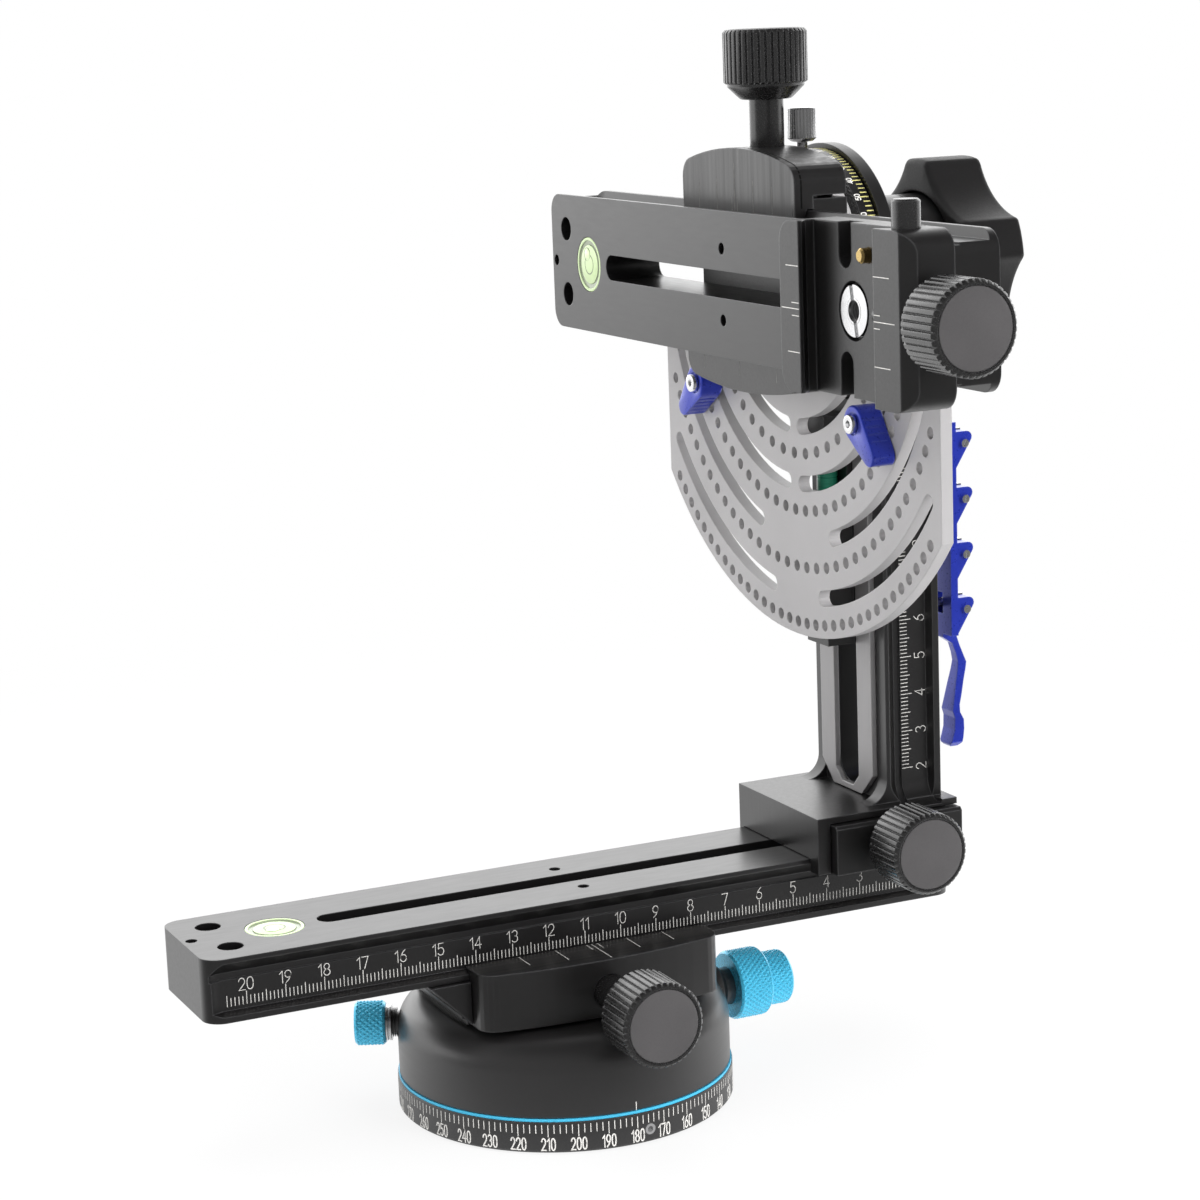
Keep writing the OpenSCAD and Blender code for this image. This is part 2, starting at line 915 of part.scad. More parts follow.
// Moving jaw of a rail clamp in the rail's frame, at -Y
module clamp_jaw(half, inner, reach, t, lip, front_arc) {
    intersection() {
        rotate([90, 0, 90])
            translate([0, 0, -half])
                linear_extrude(height = 2 * half)
                    polygon([[-reach, -t], [-reach, lip], [-lip_half, lip],
                        [-lip_half, flange_in_z + lip_gap], [-wall_half, flange_out_z + lip_gap],
                        [-wall_half, -slide_gap], [-inner, -slide_gap], [-inner, -t]]);
        translate([0, 0, -t - over])
            linear_extrude(height = t + lip + 2 * over)
                polygon(bowed(half, reach, front_arc, clamp_corner, 0));
    }
}

module guide_rods(r, x, y, z) {
    for (side = [-x, x])
        rod_y(r, side, y, z);
}

module lower_clamp_place() {
    translate([0, 0, lower_rail_z])
        children();
}

module upper_clamp_place() {
    translate([camera_face_x + rail_t, 0, tilt_z])
        rotate([-90, 0, 90])
            children();
}

module clamp_base() {
    color("#1d1e21")
        difference() {
            union() {
                lower_clamp_place()
                    clamp_body(lower_jaw_half, lower_seam, lower_back, lower_body_t, lower_lip, lower_front_arc);
                rod(lid_r - fit, [lid_z, drum_top + lid_rim_t]);
                slab_y([-horn_front, horn_front])
                    polygon([[-lower_jaw_half - run_gap, lower_rail_z - slide_gap],
                        [-lower_jaw_half - horn, lower_rail_z - slide_gap],
                        [-lower_jaw_half - run_gap, lower_rail_z - slide_gap - horn]]);
                box([-lower_jaw_half - over, over - lower_jaw_half], [over - lower_seam, horn_front - over],
                    [lower_rail_z - slide_gap - horn, lower_rail_z - slide_gap]);
            }
            guide_rods(guide_r, guide_x, [-lower_jaw_reach, guide_depth - lower_seam], lower_rail_z - lower_screw_z);
            rod_y(screw_r + fit, 0, [-lower_jaw_reach, screw_length - lower_jaw_reach + over],
                lower_rail_z - lower_screw_z);
            for (x = [-lid_screw_x, lid_screw_x], y = [-lid_screw_y, lid_screw_y])
                translate([x, y, 0]) {
                    rod(lid_screw_r + fit, [drum_top - over, lower_rail_z]);
                    rod(lid_screw_head_r + fit, [lid_screw_bottom + lid_screw_length, lower_rail_z]);
                }
        }
}

module clamp_base_screws() {
    color("#9a9da1")
        for (x = [-lid_screw_x, lid_screw_x], y = [-lid_screw_y, lid_screw_y])
            translate([x, y, lid_screw_bottom])
                difference() {
                    union() {
                        rod(lid_screw_r, [0, lid_screw_length]);
                        rod(lid_screw_head_r, [lid_screw_length, lid_screw_length + lid_screw_head_t]);
                    }
                    translate([0, 0, lid_screw_length + lid_screw_head_t / 2])
                        cylinder(r = lid_screw_r, h = lid_screw_head_t, $fn = 6);
                }
}

module lower_guide_pins() {
    color("#b9bcc0")
        guide_rods(guide_r, guide_x, [guide_reach - lower_jaw_reach, guide_depth - lower_seam],
            lower_rail_z - lower_screw_z);
}

module lower_jaw() {
    color("#26272a")
        difference() {
            lower_clamp_place()
                clamp_jaw(lower_jaw_half, lower_seam + run_gap, lower_jaw_reach, lower_jaw_t, lower_lip,
                    lower_front_arc);
            guide_rods(guide_r + fit, guide_x, [-lower_jaw_reach + guide_reach - jaw_travel - run_gap, 0],
                lower_rail_z - lower_screw_z);
            rod_y(screw_r + fit, 0, [-lower_jaw_reach - over, 0], lower_rail_z - lower_screw_z);
            rod_y(shaft_r + fit, 0, [-lower_jaw_reach - over, seat_depth + fit - lower_jaw_reach],
                lower_rail_z - lower_screw_z);
        }
}

module lower_jaw_knob() {
    color("#2b2c2f")
        translate([0, -lower_jaw_reach, lower_rail_z - lower_screw_z])
            to_minus_y()
                clamp_screw_knob(lower_shaft, screw_r, screw_length);
}

// Foot and column

module foot_block() {
    lip = lower_rail_top - foot_lip_depth;
    difference() {
        union() {
            box([foot_left, foot_right], [-foot_front, foot_back], [lower_rail_top + slide_gap, foot_top]);
            slab_x([foot_left, foot_right], 0)
                polygon([[foot_back, lip], [foot_back, foot_top - over], [wall_half, foot_top - over],
                    [wall_half, lower_rail_top - face_edge - lip_gap],
                    [wall_half - foot_lip_depth + face_edge + lip_gap, lip]]);
            box([foot_left, foot_jaw_left - run_gap], [-foot_front, -wall_half], [lip, foot_top - over]);
        }
        box([foot_jaw_left - run_gap, foot_right + over], [-foot_front - over, -foot_seam + run_gap],
            [0, foot_jaw_top + run_gap]);
        for (x = [-foot_guide_half, foot_guide_half])
            rod_y(guide_r, foot_screw_x + x, [-foot_front, guide_depth - foot_seam], foot_guide_z);
        rod_y(screw_r + fit, foot_screw_x, [-foot_front, foot_back - over], foot_screw_z);
    }
}

module column_slot() {
    translate([column_slot_low - tilt_z, 0])
        slot_plan([0, tilt_z - column_slot_low + column_slot_half], column_slot_half);
}

// Slim sides of the column: undercut, scale band and dovetail, as on the rails
module column_groove() {
    translate([column_x + rail_t, 0, column_band_low - groove_end])
        rotate([0, -90, 0])
            rail_groove();
}

module column() {
    color("#202124")
        difference() {
            union() {
                foot_block();
                box([column_x, column_back], [-rail_half, rail_half], [foot_top - over, tilt_z]);
                rod_x(rail_half, [column_x, column_back], 0, tilt_z);
                for (y = [-rail_half, liner_half + run_gap])
                    slab_y([y, y + rail_half - liner_half - run_gap])
                        difference() {
                            translate([column_x - foot_fillet, foot_top - over])
                                square([foot_fillet + over, foot_fillet + over]);
                            translate([column_x - foot_fillet, foot_top + foot_fillet])
                                circle(r = foot_fillet);
                        }
            }
            slab_x([column_x - foot_fillet, column_back + over], tilt_z)
                rotate(90)
                    column_slot();
            for (side = [-1, 1])
                scale([1, side, 1])
                    column_groove();
        }
}

module liner_outline(half, low, bevel) {
    circle(r = half);
    polygon([[-half, 0], [-half, low + bevel], [-half + bevel, low], [half - bevel, low], [half, low + bevel],
        [half, 0]]);
}

module slot_liner() {
    color("#8b8d91")
        slab_x([liner_x, column_x], tilt_z)
            difference() {
                liner_outline(liner_half, liner_low - tilt_z, liner_bevel);
                liner_outline(column_slot_half, column_slot_low - tilt_z, column_slot_half / 2);
            }
}

module foot_guide_pins() {
    color("#b9bcc0")
        for (x = [-foot_guide_half, foot_guide_half])
            rod_y(guide_r, foot_screw_x + x, [guide_reach - foot_jaw_reach, guide_depth - foot_seam], foot_guide_z);
}

module foot_jaw() {
    lip = lower_rail_top - foot_lip_depth;
    color("#26272a")
        difference() {
            slab_x([foot_jaw_left, foot_right - run_gap], 0)
                polygon([[-foot_jaw_reach, lip], [-foot_jaw_reach, foot_jaw_top - edge_cut],
                    [edge_cut - foot_jaw_reach, foot_jaw_top], [-foot_seam, foot_jaw_top],
                    [-foot_seam, lower_rail_top + slide_gap], [-wall_half, lower_rail_top + slide_gap],
                    [-wall_half, lower_rail_top - face_edge - lip_gap],
                    [foot_lip_depth - face_edge - lip_gap - wall_half, lip]]);
            for (x = [-foot_guide_half, foot_guide_half])
                rod_y(guide_r + fit, foot_screw_x + x,
                    [guide_reach - foot_jaw_reach - jaw_travel - run_gap, 0], foot_guide_z);
            rod_y(screw_r + fit, foot_screw_x, [-foot_jaw_reach - over, 0], foot_screw_z);
            rod_y(shaft_r + fit, foot_screw_x, [-foot_jaw_reach - over, seat_depth + fit - foot_jaw_reach],
                foot_screw_z);
        }
}

module foot_knob() {
    color("#2b2c2f")
        translate([foot_screw_x, -foot_jaw_reach, foot_screw_z])
            to_minus_y()
                clamp_screw_knob(foot_shaft, screw_r, screw_length);
}

// Carriage on the column

module stator() {
    color("#1d1e21")
        difference() {
            union() {
                rod_x(stator_r, [stator_x, stator_back], 0, tilt_z);
                rod_x(journal_r, [stud_head_x + stud_head_t, stator_x + over], 0, tilt_z);
                box([stator_back - over, key_back], [-key_half, key_half], [key_low, tilt_z]);
                rod_x(key_half, [stator_back - over, key_back], 0, tilt_z);
            }
            rod_x(stud_r, [0, key_back + over], 0, tilt_z);
            box([stator_back - 2 * over, stator_back], [-key_half - over, key_half + over],
                [key_low - over, tilt_z - stator_r]);
            for (k = ROWS)
                rod_x(index_pin_r + fit, [stator_back - over, key_back + over], 0, row_z(k));
        }
}

module detent_housing() {
    color("#17181a")
        difference() {
            box([housing_front, stator_back], [-key_half, key_half], [key_low, housing_top]);
            for (k = ROWS)
                rod_x(index_pin_r + fit, [housing_front - over, stator_back + over], 0, row_z(k));
            box([housing_front - over, stator_back - housing_web], [-key_half - over, key_half + over],
                [row_z(0) - row_pitch / 2 - collar_h / 2, row_z(0) - row_pitch / 2 + collar_h / 2]);
            box([0, stator_back + over], [-key_half - over, key_half + over], [tilt_z - stator_r - slide_gap, tilt_z]);
        }
}

// A coloured spring barrel in the housing's window, between the first two rows
module detent_collar() {
    color("#1d7a5a")
        translate([collar_x, 0, row_z(0) - row_pitch / 2])
            rod(collar_r, [-collar_h / 2, collar_h / 2]);
}

module clamp_stud() {
    color("#b9bcc0")
        union() {
            rod_x(stud_head_r, [stud_head_x, stud_head_x + stud_head_t], 0, tilt_z);
            rod_x(stud_r, [stud_head_x, stud_end], 0, tilt_z);
        }
}

module clamp_hub() {
    color("#1b1c1f")
        difference() {
            union() {
                rod_x(rail_half, [washer_x, ear_back], 0, tilt_z);
                translate([0, 0, tilt_z])
                    to_x()
                        chamfered_rod(rail_half, [washer_x, washer_back], edge_cut);
                box([washer_x, ear_back], [-ear_half, ear_half], [ear_low, tilt_z]);
            }
            rod_x(stud_r, [0, washer_back + over], 0, tilt_z);
            box([washer_x - over, ear_back + over], [-lever_arm_half - run_gap, lever_arm_half + run_gap],
                [ear_low - over, ear_high]);
            rod_y(lever_pin_r, ear_x, [-ear_half - over, ear_half + over], ear_z);
        }
}

module lobed_knob() {
    color("#232427")
        translate([0, 0, tilt_z])
            to_x()
                difference() {
                    chamfered_rod(lobed_r, [lobed_x, lobed_x + lobed_length], edge_cut);
                    for (i = [0 : lobed_count - 1])
                        rotate([0, 0, -90 - lobed_turn - 36 + i * 360 / lobed_count])
                            translate([lobed_valley_r + lobed_cut_r, 0, 0])
                                rod(lobed_cut_r, [lobed_x - over, lobed_x + lobed_length + over]);
                    rod(lobed_hollow_r, [lobed_x - over, washer_back + slide_gap]);
                    rod(stud_r + fit, [lobed_x - over, stud_end + slide_gap]);
                }
}

// Index lever: a bar with four pairs of lugs, an arm up to its pin and a bent handle below

module lever_lugs() {
    for (k = ROWS)
        polygon(concat([[lever_front, cross_z(k) - lug_down], [lever_front + lever_web, cross_z(k) - lug_down]],
            arc([lug_tip - lug_round, cross_z(k) + lug_up - lug_round], lug_round, -40, 90, 6),
            [[lever_front, cross_z(k) + lug_up]]));
}

module detent_lever() {
    color("#2a3bc4")
        difference() {
            union() {
                slab_y([-lever_half, -lug_gap_half])
                    lever_lugs();
                slab_y([lug_gap_half, lever_half])
                    lever_lugs();
                box([lever_front, lever_front + lever_web], [-lever_half, lever_half], [lever_low, lever_high]);
                slab_y([-lever_arm_half, lever_arm_half])
                    lever_arm();
                intersection() {
                    slab_y([-handle_half, handle_half])
                        lever_handle();
                    slab_x([lever_front - over, lug_tip + over], 0)
                        handle_plan();
                }
            }
            for (k = ROWS) {
                box([lever_front - over, lever_front + lever_web + over], [-eye_half, eye_half],
                    [row_z(k) - 1.7 * eye_half, row_z(k) + 1.7 * eye_half]);
                rod_y(cross_r, cross_x, [-lever_half - over, lever_half + over], cross_z(k));
            }
            rod_y(lever_pin_r + fit, ear_x, [-lever_half, lever_half], ear_z);
        }
}

// Side view of the lever's arm: it drops in front of the lobed knob before it reaches back to the bar
module lever_arm() {
    translate([ear_x, ear_z])
        circle(r = lever_arm_r);
    polygon([[ear_x - lever_arm_r, ear_z], [ear_x + lever_arm_r, ear_z], [ear_x + lever_arm_r, ear_z - lever_arm_drop],
        [lever_front + lever_web, lever_high], [lever_front + lever_web, lever_high - row_pitch / 4],
        [lever_front, lever_high - row_pitch / 4], [ear_x - lever_arm_r / 2, ear_z - 2 * lever_arm_r]]);
}

// Side view of the lever's bent handle
module lever_handle() {
    polygon([[lever_front, lever_low + lever_root], [lever_front, lever_low - over], [118.6, 105.1], [119.6, 102.2],
        [120.1, 99.9], [119.7, 97.4], [118.9, 93.9], [117.4, 86.6], [118, 84.8], [117.9, 81.5], [117.3, 79.3],
        [116.7, 77.3], [117.2, 76.7], [119.4, 76.7], [120.2, 77.4], [120.6, 79], [120.9, 81.6], [120.8, 84.1],
        [119.7, 86.2], [119.7, 88.2], [120.5, 90.9], [121.5, 95], [122.3, 97.7], [122.7, 99.6], [121.8, 101.9],
        [120.7, 104.8], [119.6, 107.6], [118.4, 110]]);
}

// Front view of the handle: a narrow neck that widens downwards
module handle_plan() {
    for (side = [-1, 1])
        polygon([[0, 111], [side * lug_gap_half, 111], [side * 1.5, 107.3], [side * neck_half, 104.5],
            [side * 1.6, 99], [side * handle_half, 86], [side * handle_half, 77.9],
            [side * (handle_half - handle_edge), 76.7], [0, 76.7]]);
}

module lever_pin() {
    color("#b9bcc0")
        rod_y(lever_pin_r, ear_x, [-ear_half, ear_half], ear_z);
}

module lever_screws() {
    color("#c8c8c8")
        for (k = ROWS)
            union() {
                rod_y(cross_r, cross_x, [-lever_half, lever_half], cross_z(k));
                rod_y(cross_head_r, cross_x, [-lever_half - cross_r, -lever_half], cross_z(k));
            }
}

// One index pin, with an eye for the lever's cross screw; its tip rests clear of the plate
module detent_pin(k) {
    tip = engaged_tip + pin_travel(k);
    slot = cross_r + run_gap;
    color("#c8c8c8")
        difference() {
            union() {
                translate([0, 0, row_z(k)])
                    to_x()
                        chamfered_rod(index_pin_r, [tip, eye_front + over], index_pin_r / 3);
                box([eye_front, eye_back], [-eye_half, eye_half],
                    [cross_z(k) - 2 * eye_half, cross_z(k) + 2 * eye_half]);
            }
            box([cross_x - slot, cross_x + slot], [-2 * eye_half, 2 * eye_half],
                [cross_z(k) - slot - over, cross_z(k) + slot]);
        }
}

module detent_pin_1() {
    detent_pin(0);
}

module detent_pin_2() {
    detent_pin(1);
}

module detent_pin_3() {
    detent_pin(2);
}

module detent_pin_4() {
    detent_pin(3);
}

// Tilt head

module tilt_hub() {
    color("#1d1e21")
        difference() {
            union() {
                rod_x(hub_r, [plate_back, plate_back + rim_t], 0, tilt_z);
                rod_x(hub_core_r, [plate_back, hub_back], 0, tilt_z);
            }
            rod_x(journal_r + fit, [0, hub_back + over], 0, tilt_z);
            rod_x(stud_head_r + run_gap, [0, stud_head_x + stud_head_t + run_gap], 0, tilt_z);
            translate([thumb_x, 0, tilt_z])
                rod(thumb_stud_r + fit, [thumb_stud_depth - slide_gap, hub_r + over]);
        }
}

module dial_ring() {
    color("#232427")
        translate([0, 0, tilt_z])
            to_x()
                tube(hub_r, hub_core_r + fit, [plate_back + rim_t, hub_back]);
}

module plate_outline() {
    difference() {
        union() {
            intersection() {
                circle(r = plate_r, $fn = 180);
                translate([-plate_flat, -plate_r])
                    square([2 * plate_flat, plate_r - plate_top]);
            }
            circle(r = hub_r);
        }
        for (k = ROWS)
            hole_row(row_radius(k), row_pitches[k]);
        for (k = ROWS, side = [-1, 1])
            arc_slot(slot_radius(k), slot_starts[k], side);
    }
}

// Reach of a curved row or slot at radius r before it meets the plate's flat or its top edge
function row_limit(r, edge) =
    let (to_flat = r + edge > plate_flat ? asin((plate_flat - edge) / r) : 90)
    min(to_flat, acos((plate_top + edge) / r));

module hole_row(r, pitch) {
    n = floor(row_limit(r, row_edge) / pitch);
    for (i = [-n : n])
        rotate(i * pitch)
            translate([0, -r])
                circle(r = index_hole_r, $fn = 24);
}

module arc_slot(r, start, side) {
    end = row_limit(r, slot_edge);
    w = arc_slot_w / 2;
    a = start - 90;
    b = end - 90;
    scale([side, 1, 1])
        polygon(concat(arc([0, 0], r + w, a, b, 20), arc(r * [cos(b), sin(b)], w, b, b + 180, 8),
            arc([0, 0], r - w, b, a, 20), arc(r * [cos(a), sin(a)], w, a + 180, a + 360, 8)));
}

module index_plate() {
    color("#8b8d91")
        difference() {
            slab_x([plate_x, plate_back], tilt_z)
                plate_outline();
            rod_x(stud_head_r + run_gap, [0, plate_back + over], 0, tilt_z);
        }
}

module upper_clamp() {
    color("#1d1e21")
        difference() {
            upper_clamp_place()
                clamp_body(upper_jaw_half, upper_seam, upper_foot_reach, upper_clamp_t, upper_lip, upper_foot_arc);
            upper_bores(0, [-upper_jaw_reach, screw_length - upper_jaw_reach + over]);
        }
}

// Bores for the guide pins and the screw, in the upper clamp's frame
module upper_bores(gap, y) {
    upper_clamp_place() {
        guide_rods(guide_r + gap, guide_x, [y[0], guide_depth - upper_seam], -upper_screw_z);
        rod_y(screw_r + fit, 0, y, -upper_screw_z);
    }
}

module upper_guide_pins() {
    color("#b9bcc0")
        upper_clamp_place()
            guide_rods(guide_r, guide_x, [guide_reach - upper_jaw_reach, guide_depth - upper_seam], -upper_screw_z);
}

module upper_jaw() {
    color("#2b2c2f")
        difference() {
            upper_clamp_place()
                clamp_jaw(upper_jaw_half, upper_jaw_inner, upper_jaw_reach, upper_clamp_t - slide_gap, upper_lip,
                    upper_front_arc);
            upper_clamp_place() {
                guide_rods(guide_r + fit, guide_x, [guide_reach - upper_jaw_reach - jaw_travel - run_gap, 0],
                    -upper_screw_z);
                rod_y(screw_r + fit, 0, [-upper_jaw_reach - over, 0], -upper_screw_z);
                rod_y(shaft_r + fit, 0, [-upper_jaw_reach - over, seat_depth + fit - upper_jaw_reach],
                    -upper_screw_z);
            }
        }
}

module upper_knob() {
    color("#2b2c2f")
        translate([camera_face_x + rail_t + upper_screw_z, 0, tilt_z + upper_jaw_reach])
            clamp_screw_knob(upper_shaft, screw_r, screw_length);
}

module thumbscrew() {
    color("#b9bcc0")
        translate([thumb_x, 0, 0]) {
            rod(thumb_stud_r, [tilt_z + thumb_stud_depth, thumb_head_z + over]);
            translate([0, 0, thumb_head_z])
                chamfered_rod(thumb_r, [0, thumb_head_h], small_edge);
        }
}

// Stop levers in the second arc slot

module stop_place(angle) {
    translate([0, 0, tilt_z])
        rotate([angle, 0, 0])
            translate([0, 0, -stop_r])
                children();
}

module stop_lever(angle, turn) {
    a = acos((stop_head_r - stop_tail_r) / stop_length);
    stop_place(angle)
        rotate([turn, 0, 0])
            difference() {
                slab_x([stop_front, stop_back], 0)
                    rotate(-90)
                        polygon(concat(arc([0, 0], stop_head_r, a, 360 - a, 20),
                            arc([stop_length, 0], stop_tail_r, -a, a, 8)));
                rod_x(stop_screw_r + fit, [0, plate_x], 0, 0);
            }
}

module stop_screw(angle) {
    stop_place(angle)
        union() {
            rod_x(stop_screw_head_r, [stop_front - fit - stop_screw_head_t, stop_front - fit], 0, 0);
            rod_x(stop_screw_r, [stop_front - over, plate_back + stop_nut_t], 0, 0);
            rod_x(stop_nut_r, [plate_back + slide_gap, plate_back + stop_nut_t + slide_gap], 0, 0);
        }
}

module stop_lever_left() {
    color("#2a3bc4")
        stop_lever(stop_left_angle, -stop_tail_turn);
}

module stop_lever_right() {
    color("#2a3bc4")
        stop_lever(-stop_right_angle, stop_tail_turn);
}

module stop_screw_left() {
    color("#e0e0e0")
        stop_screw(stop_left_angle);
}

module stop_screw_right() {
    color("#e0e0e0")
        stop_screw(-stop_right_angle);
}

// Quick-release clamp on the camera rail

module quick_outline(far, near) {
    slab_x([quick_x - over, camera_face_x], tilt_z)
        translate([near, -quick_h / 2])
            square([far - near, quick_h]);
}

module quick_clamp() {
    neck = quick_x + quick_lip;
    floor_x = quick_x + quick_floor;
    far_lip = quick_far - quick_strip;
    near_end = quick_near - quick_slope + run_gap + small_edge;
    color("#232427")
        difference() {
            intersection() {
                translate([0, 0, quick_z0])
                    linear_extrude(height = quick_h)
                        polygon([[camera_face_x, quick_far], [quick_x, quick_far], [quick_x, far_lip], [neck, far_lip],
                            [neck + quick_slope, far_lip + quick_slope], [floor_x, far_lip + quick_slope],
                            [floor_x, near_end], [camera_face_x, near_end]]);
                slab_x([quick_x - over, camera_face_x], tilt_z)
                    rounded_plan([quick_end, quick_far], quick_h / 2, quick_corner);
            }
            rod_x(quick_ring_r, [0, floor_x + quick_head_t], quick_screw_y, tilt_z);
            rod_x(quick_shank_r + fit, [0, camera_face_x + over], quick_screw_y, tilt_z);
            rod_x(safety_pin_r + fit, [0, camera_face_x - over], safety_y, safety_z);
            for (side = [-1, 1])
                scale_z(side)
                    quick_pocket(floor_x);
            for (z = [-quick_guide_half, quick_guide_half])
                rod_y(quick_guide_r, quick_guide_x, [quick_end, quick_near + quick_guide_depth], tilt_z + z);
            rod_y(quick_screw_r + fit, quick_knob_x, [quick_end, quick_end + quick_thread + over], tilt_z);
        }
}

// Mirrors its children about the height of the tilt axis where side is -1
module scale_z(side) {
    translate([0, 0, tilt_z])
        scale([1, 1, side])
            children();
}

module quick_pocket(floor_x) {
    translate([floor_x - over, pocket_y, 0])
        rotate([90, 0, 90])
            linear_extrude(height = pocket_depth + over)
                union() {
                    translate([0, quick_h / 2 - pocket_h + pocket_w / 2])
                        circle(r = pocket_w / 2);
                    translate([-pocket_w / 2, quick_h / 2 - pocket_h + pocket_w / 2])
                        square([pocket_w, pocket_h]);
                }
}

module quick_clamp_screw() {
    floor_x = quick_x + quick_floor;
    color("#c8c8c8")
        difference() {
            union() {
                rod_x(quick_head_r, [floor_x + fit, floor_x + quick_head_t], quick_screw_y, tilt_z);
                rod_x(quick_shank_r, [floor_x, camera_face_x + rail_t], quick_screw_y, tilt_z);
            }
            translate([0, quick_screw_y, tilt_z])
                rotate([90 - quick_slot_turn, 0, 0])
                    box([floor_x - over, floor_x + quick_head_t / 2], [-quick_head_r - over, quick_head_r + over],
                        [-quick_slot_w / 2, quick_slot_w / 2]);
            rod_x(quick_bore_r, [0, floor_x + quick_bore_depth], quick_screw_y, tilt_z);
        }
}

module quick_guide_pins() {
    color("#b9bcc0")
        for (z = [-quick_guide_half, quick_guide_half])
            rod_y(quick_guide_r, quick_guide_x, [quick_end + guide_reach, quick_near + quick_guide_depth], tilt_z + z);
}

module safety_pin() {
    floor_x = quick_x + quick_floor;
    color("#c9a24b")
        translate([0, safety_y, safety_z])
            to_x()
                chamfered_rod(safety_pin_r,
                    [floor_x - safety_proud, camera_face_x - over - safety_travel - run_gap], small_edge);
}

module release_button() {
    color("#17181a")
        translate([button_x, button_y, quick_z0 + quick_h])
            chamfered_rod(button_r - fit, [button_travel + run_gap - button_depth, button_h], small_edge);
}

module quick_jaw() {
    neck = quick_x + quick_lip;
    back = camera_face_x - run_gap;
    inner = quick_near - quick_slope;
    color("#26272a")
        difference() {
            intersection() {
                translate([0, 0, quick_z0])
                    linear_extrude(height = quick_h)
                        polygon([[quick_x, quick_near], [neck, quick_near], [neck + quick_slope, inner],
                            [back, inner], [back, quick_end], [quick_x + quick_bevel, quick_end],
                            [quick_x, quick_end + quick_bevel]]);
                slab_x([quick_x - over, camera_face_x], tilt_z)
                    rounded_plan([quick_end, quick_far], quick_h / 2, quick_corner);
            }
            for (z = [-quick_guide_half, quick_guide_half])
                rod_y(quick_guide_r + fit, quick_guide_x,
                    [quick_end + guide_reach - jaw_travel - run_gap, quick_near], tilt_z + z);
            rod_y(quick_screw_r + fit, quick_knob_x, [quick_end - over, quick_near], tilt_z);
            rod_y(shaft_r + fit, quick_knob_x, [quick_end - over, quick_end + seat_depth + fit], tilt_z);
            translate([button_x, button_y, 0])
                rod(button_r, [quick_z0 + quick_h - button_depth, quick_z0 + quick_h + over]);
        }
}

module quick_knob() {
    color("#2b2c2f")
        translate([quick_knob_x, quick_end, tilt_z])
            to_minus_y()
                clamp_screw_knob(foot_shaft, quick_screw_r, quick_thread);
}

base_plate();
degree_ring();
tripod_bush();
ring_set_screw();
index_ring();
friction_washer();
drum_shell();
plunger_barrel();
selector_knob();
release_knob();
index_plunger();
pan_lock_knob();
pan_lock_screw();
pan_lock_shoe();
clamp_base();
clamp_base_screws();
lower_guide_pins();
lower_jaw();
lower_jaw_knob();
lower_rail();
lower_level();
column();
slot_liner();
foot_guide_pins();
foot_jaw();
foot_knob();
stator();
detent_housing();
detent_collar();
clamp_stud();
clamp_hub();
lobed_knob();
detent_lever();
lever_pin();
lever_screws();
detent_pin_1();
detent_pin_2();
detent_pin_3();
detent_pin_4();
tilt_hub();
dial_ring();
index_plate();
upper_clamp();
upper_guide_pins();
upper_jaw();
upper_knob();
thumbscrew();
stop_lever_left();
stop_lever_right();
stop_screw_left();
stop_screw_right();
camera_rail();
camera_level();
quick_clamp();
quick_clamp_screw();
quick_guide_pins();
safety_pin();
release_button();
quick_jaw();
quick_knob();
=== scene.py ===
"""Looks for a panoramic tripod head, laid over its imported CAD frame.

The file is laid out as an add-on: sizes and colours are properties, every group of pieces is an
operator, and one panel lists them. Lengths in the shape code are millimetres in the row's frame:
X runs along the lower rail to the column, Y away from the clamp knobs and Z up.
"""

import json
import math

import bpy
import numpy as np
from mathutils import Matrix, Vector

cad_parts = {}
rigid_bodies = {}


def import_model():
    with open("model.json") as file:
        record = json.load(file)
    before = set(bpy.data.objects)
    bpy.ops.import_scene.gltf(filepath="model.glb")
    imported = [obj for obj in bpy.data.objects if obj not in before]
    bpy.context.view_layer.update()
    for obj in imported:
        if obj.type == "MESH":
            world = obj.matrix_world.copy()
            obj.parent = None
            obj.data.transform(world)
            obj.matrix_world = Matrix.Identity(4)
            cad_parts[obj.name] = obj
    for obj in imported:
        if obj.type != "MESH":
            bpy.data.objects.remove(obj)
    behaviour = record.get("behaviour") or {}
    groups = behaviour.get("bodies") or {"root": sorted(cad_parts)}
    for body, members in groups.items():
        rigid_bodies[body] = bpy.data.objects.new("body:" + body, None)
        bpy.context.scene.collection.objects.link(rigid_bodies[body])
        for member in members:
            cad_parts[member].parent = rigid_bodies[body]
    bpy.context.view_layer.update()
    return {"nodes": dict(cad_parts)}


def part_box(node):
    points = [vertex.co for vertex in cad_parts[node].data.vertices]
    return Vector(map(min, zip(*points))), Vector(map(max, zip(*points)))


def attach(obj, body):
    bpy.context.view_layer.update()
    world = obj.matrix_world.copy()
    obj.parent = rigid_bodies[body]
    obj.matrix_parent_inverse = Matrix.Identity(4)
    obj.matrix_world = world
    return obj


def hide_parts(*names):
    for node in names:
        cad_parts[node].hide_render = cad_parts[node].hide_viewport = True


bl_info = {
    "name": "Panoramic tripod head",
    "version": (1, 0, 0),
    "blender": (4, 5, 0),
    "location": "3D View > Sidebar > Tripod head",
    "description": "Finishes, scales, knurled knobs and studio for a panoramic tripod head",
    "category": "Object",
}

for start_object in list(bpy.data.objects):
    bpy.data.objects.remove(start_object)
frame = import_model()

MM = 0.001
TILT_Z = 208.0
X, Y, Z = np.eye(3)

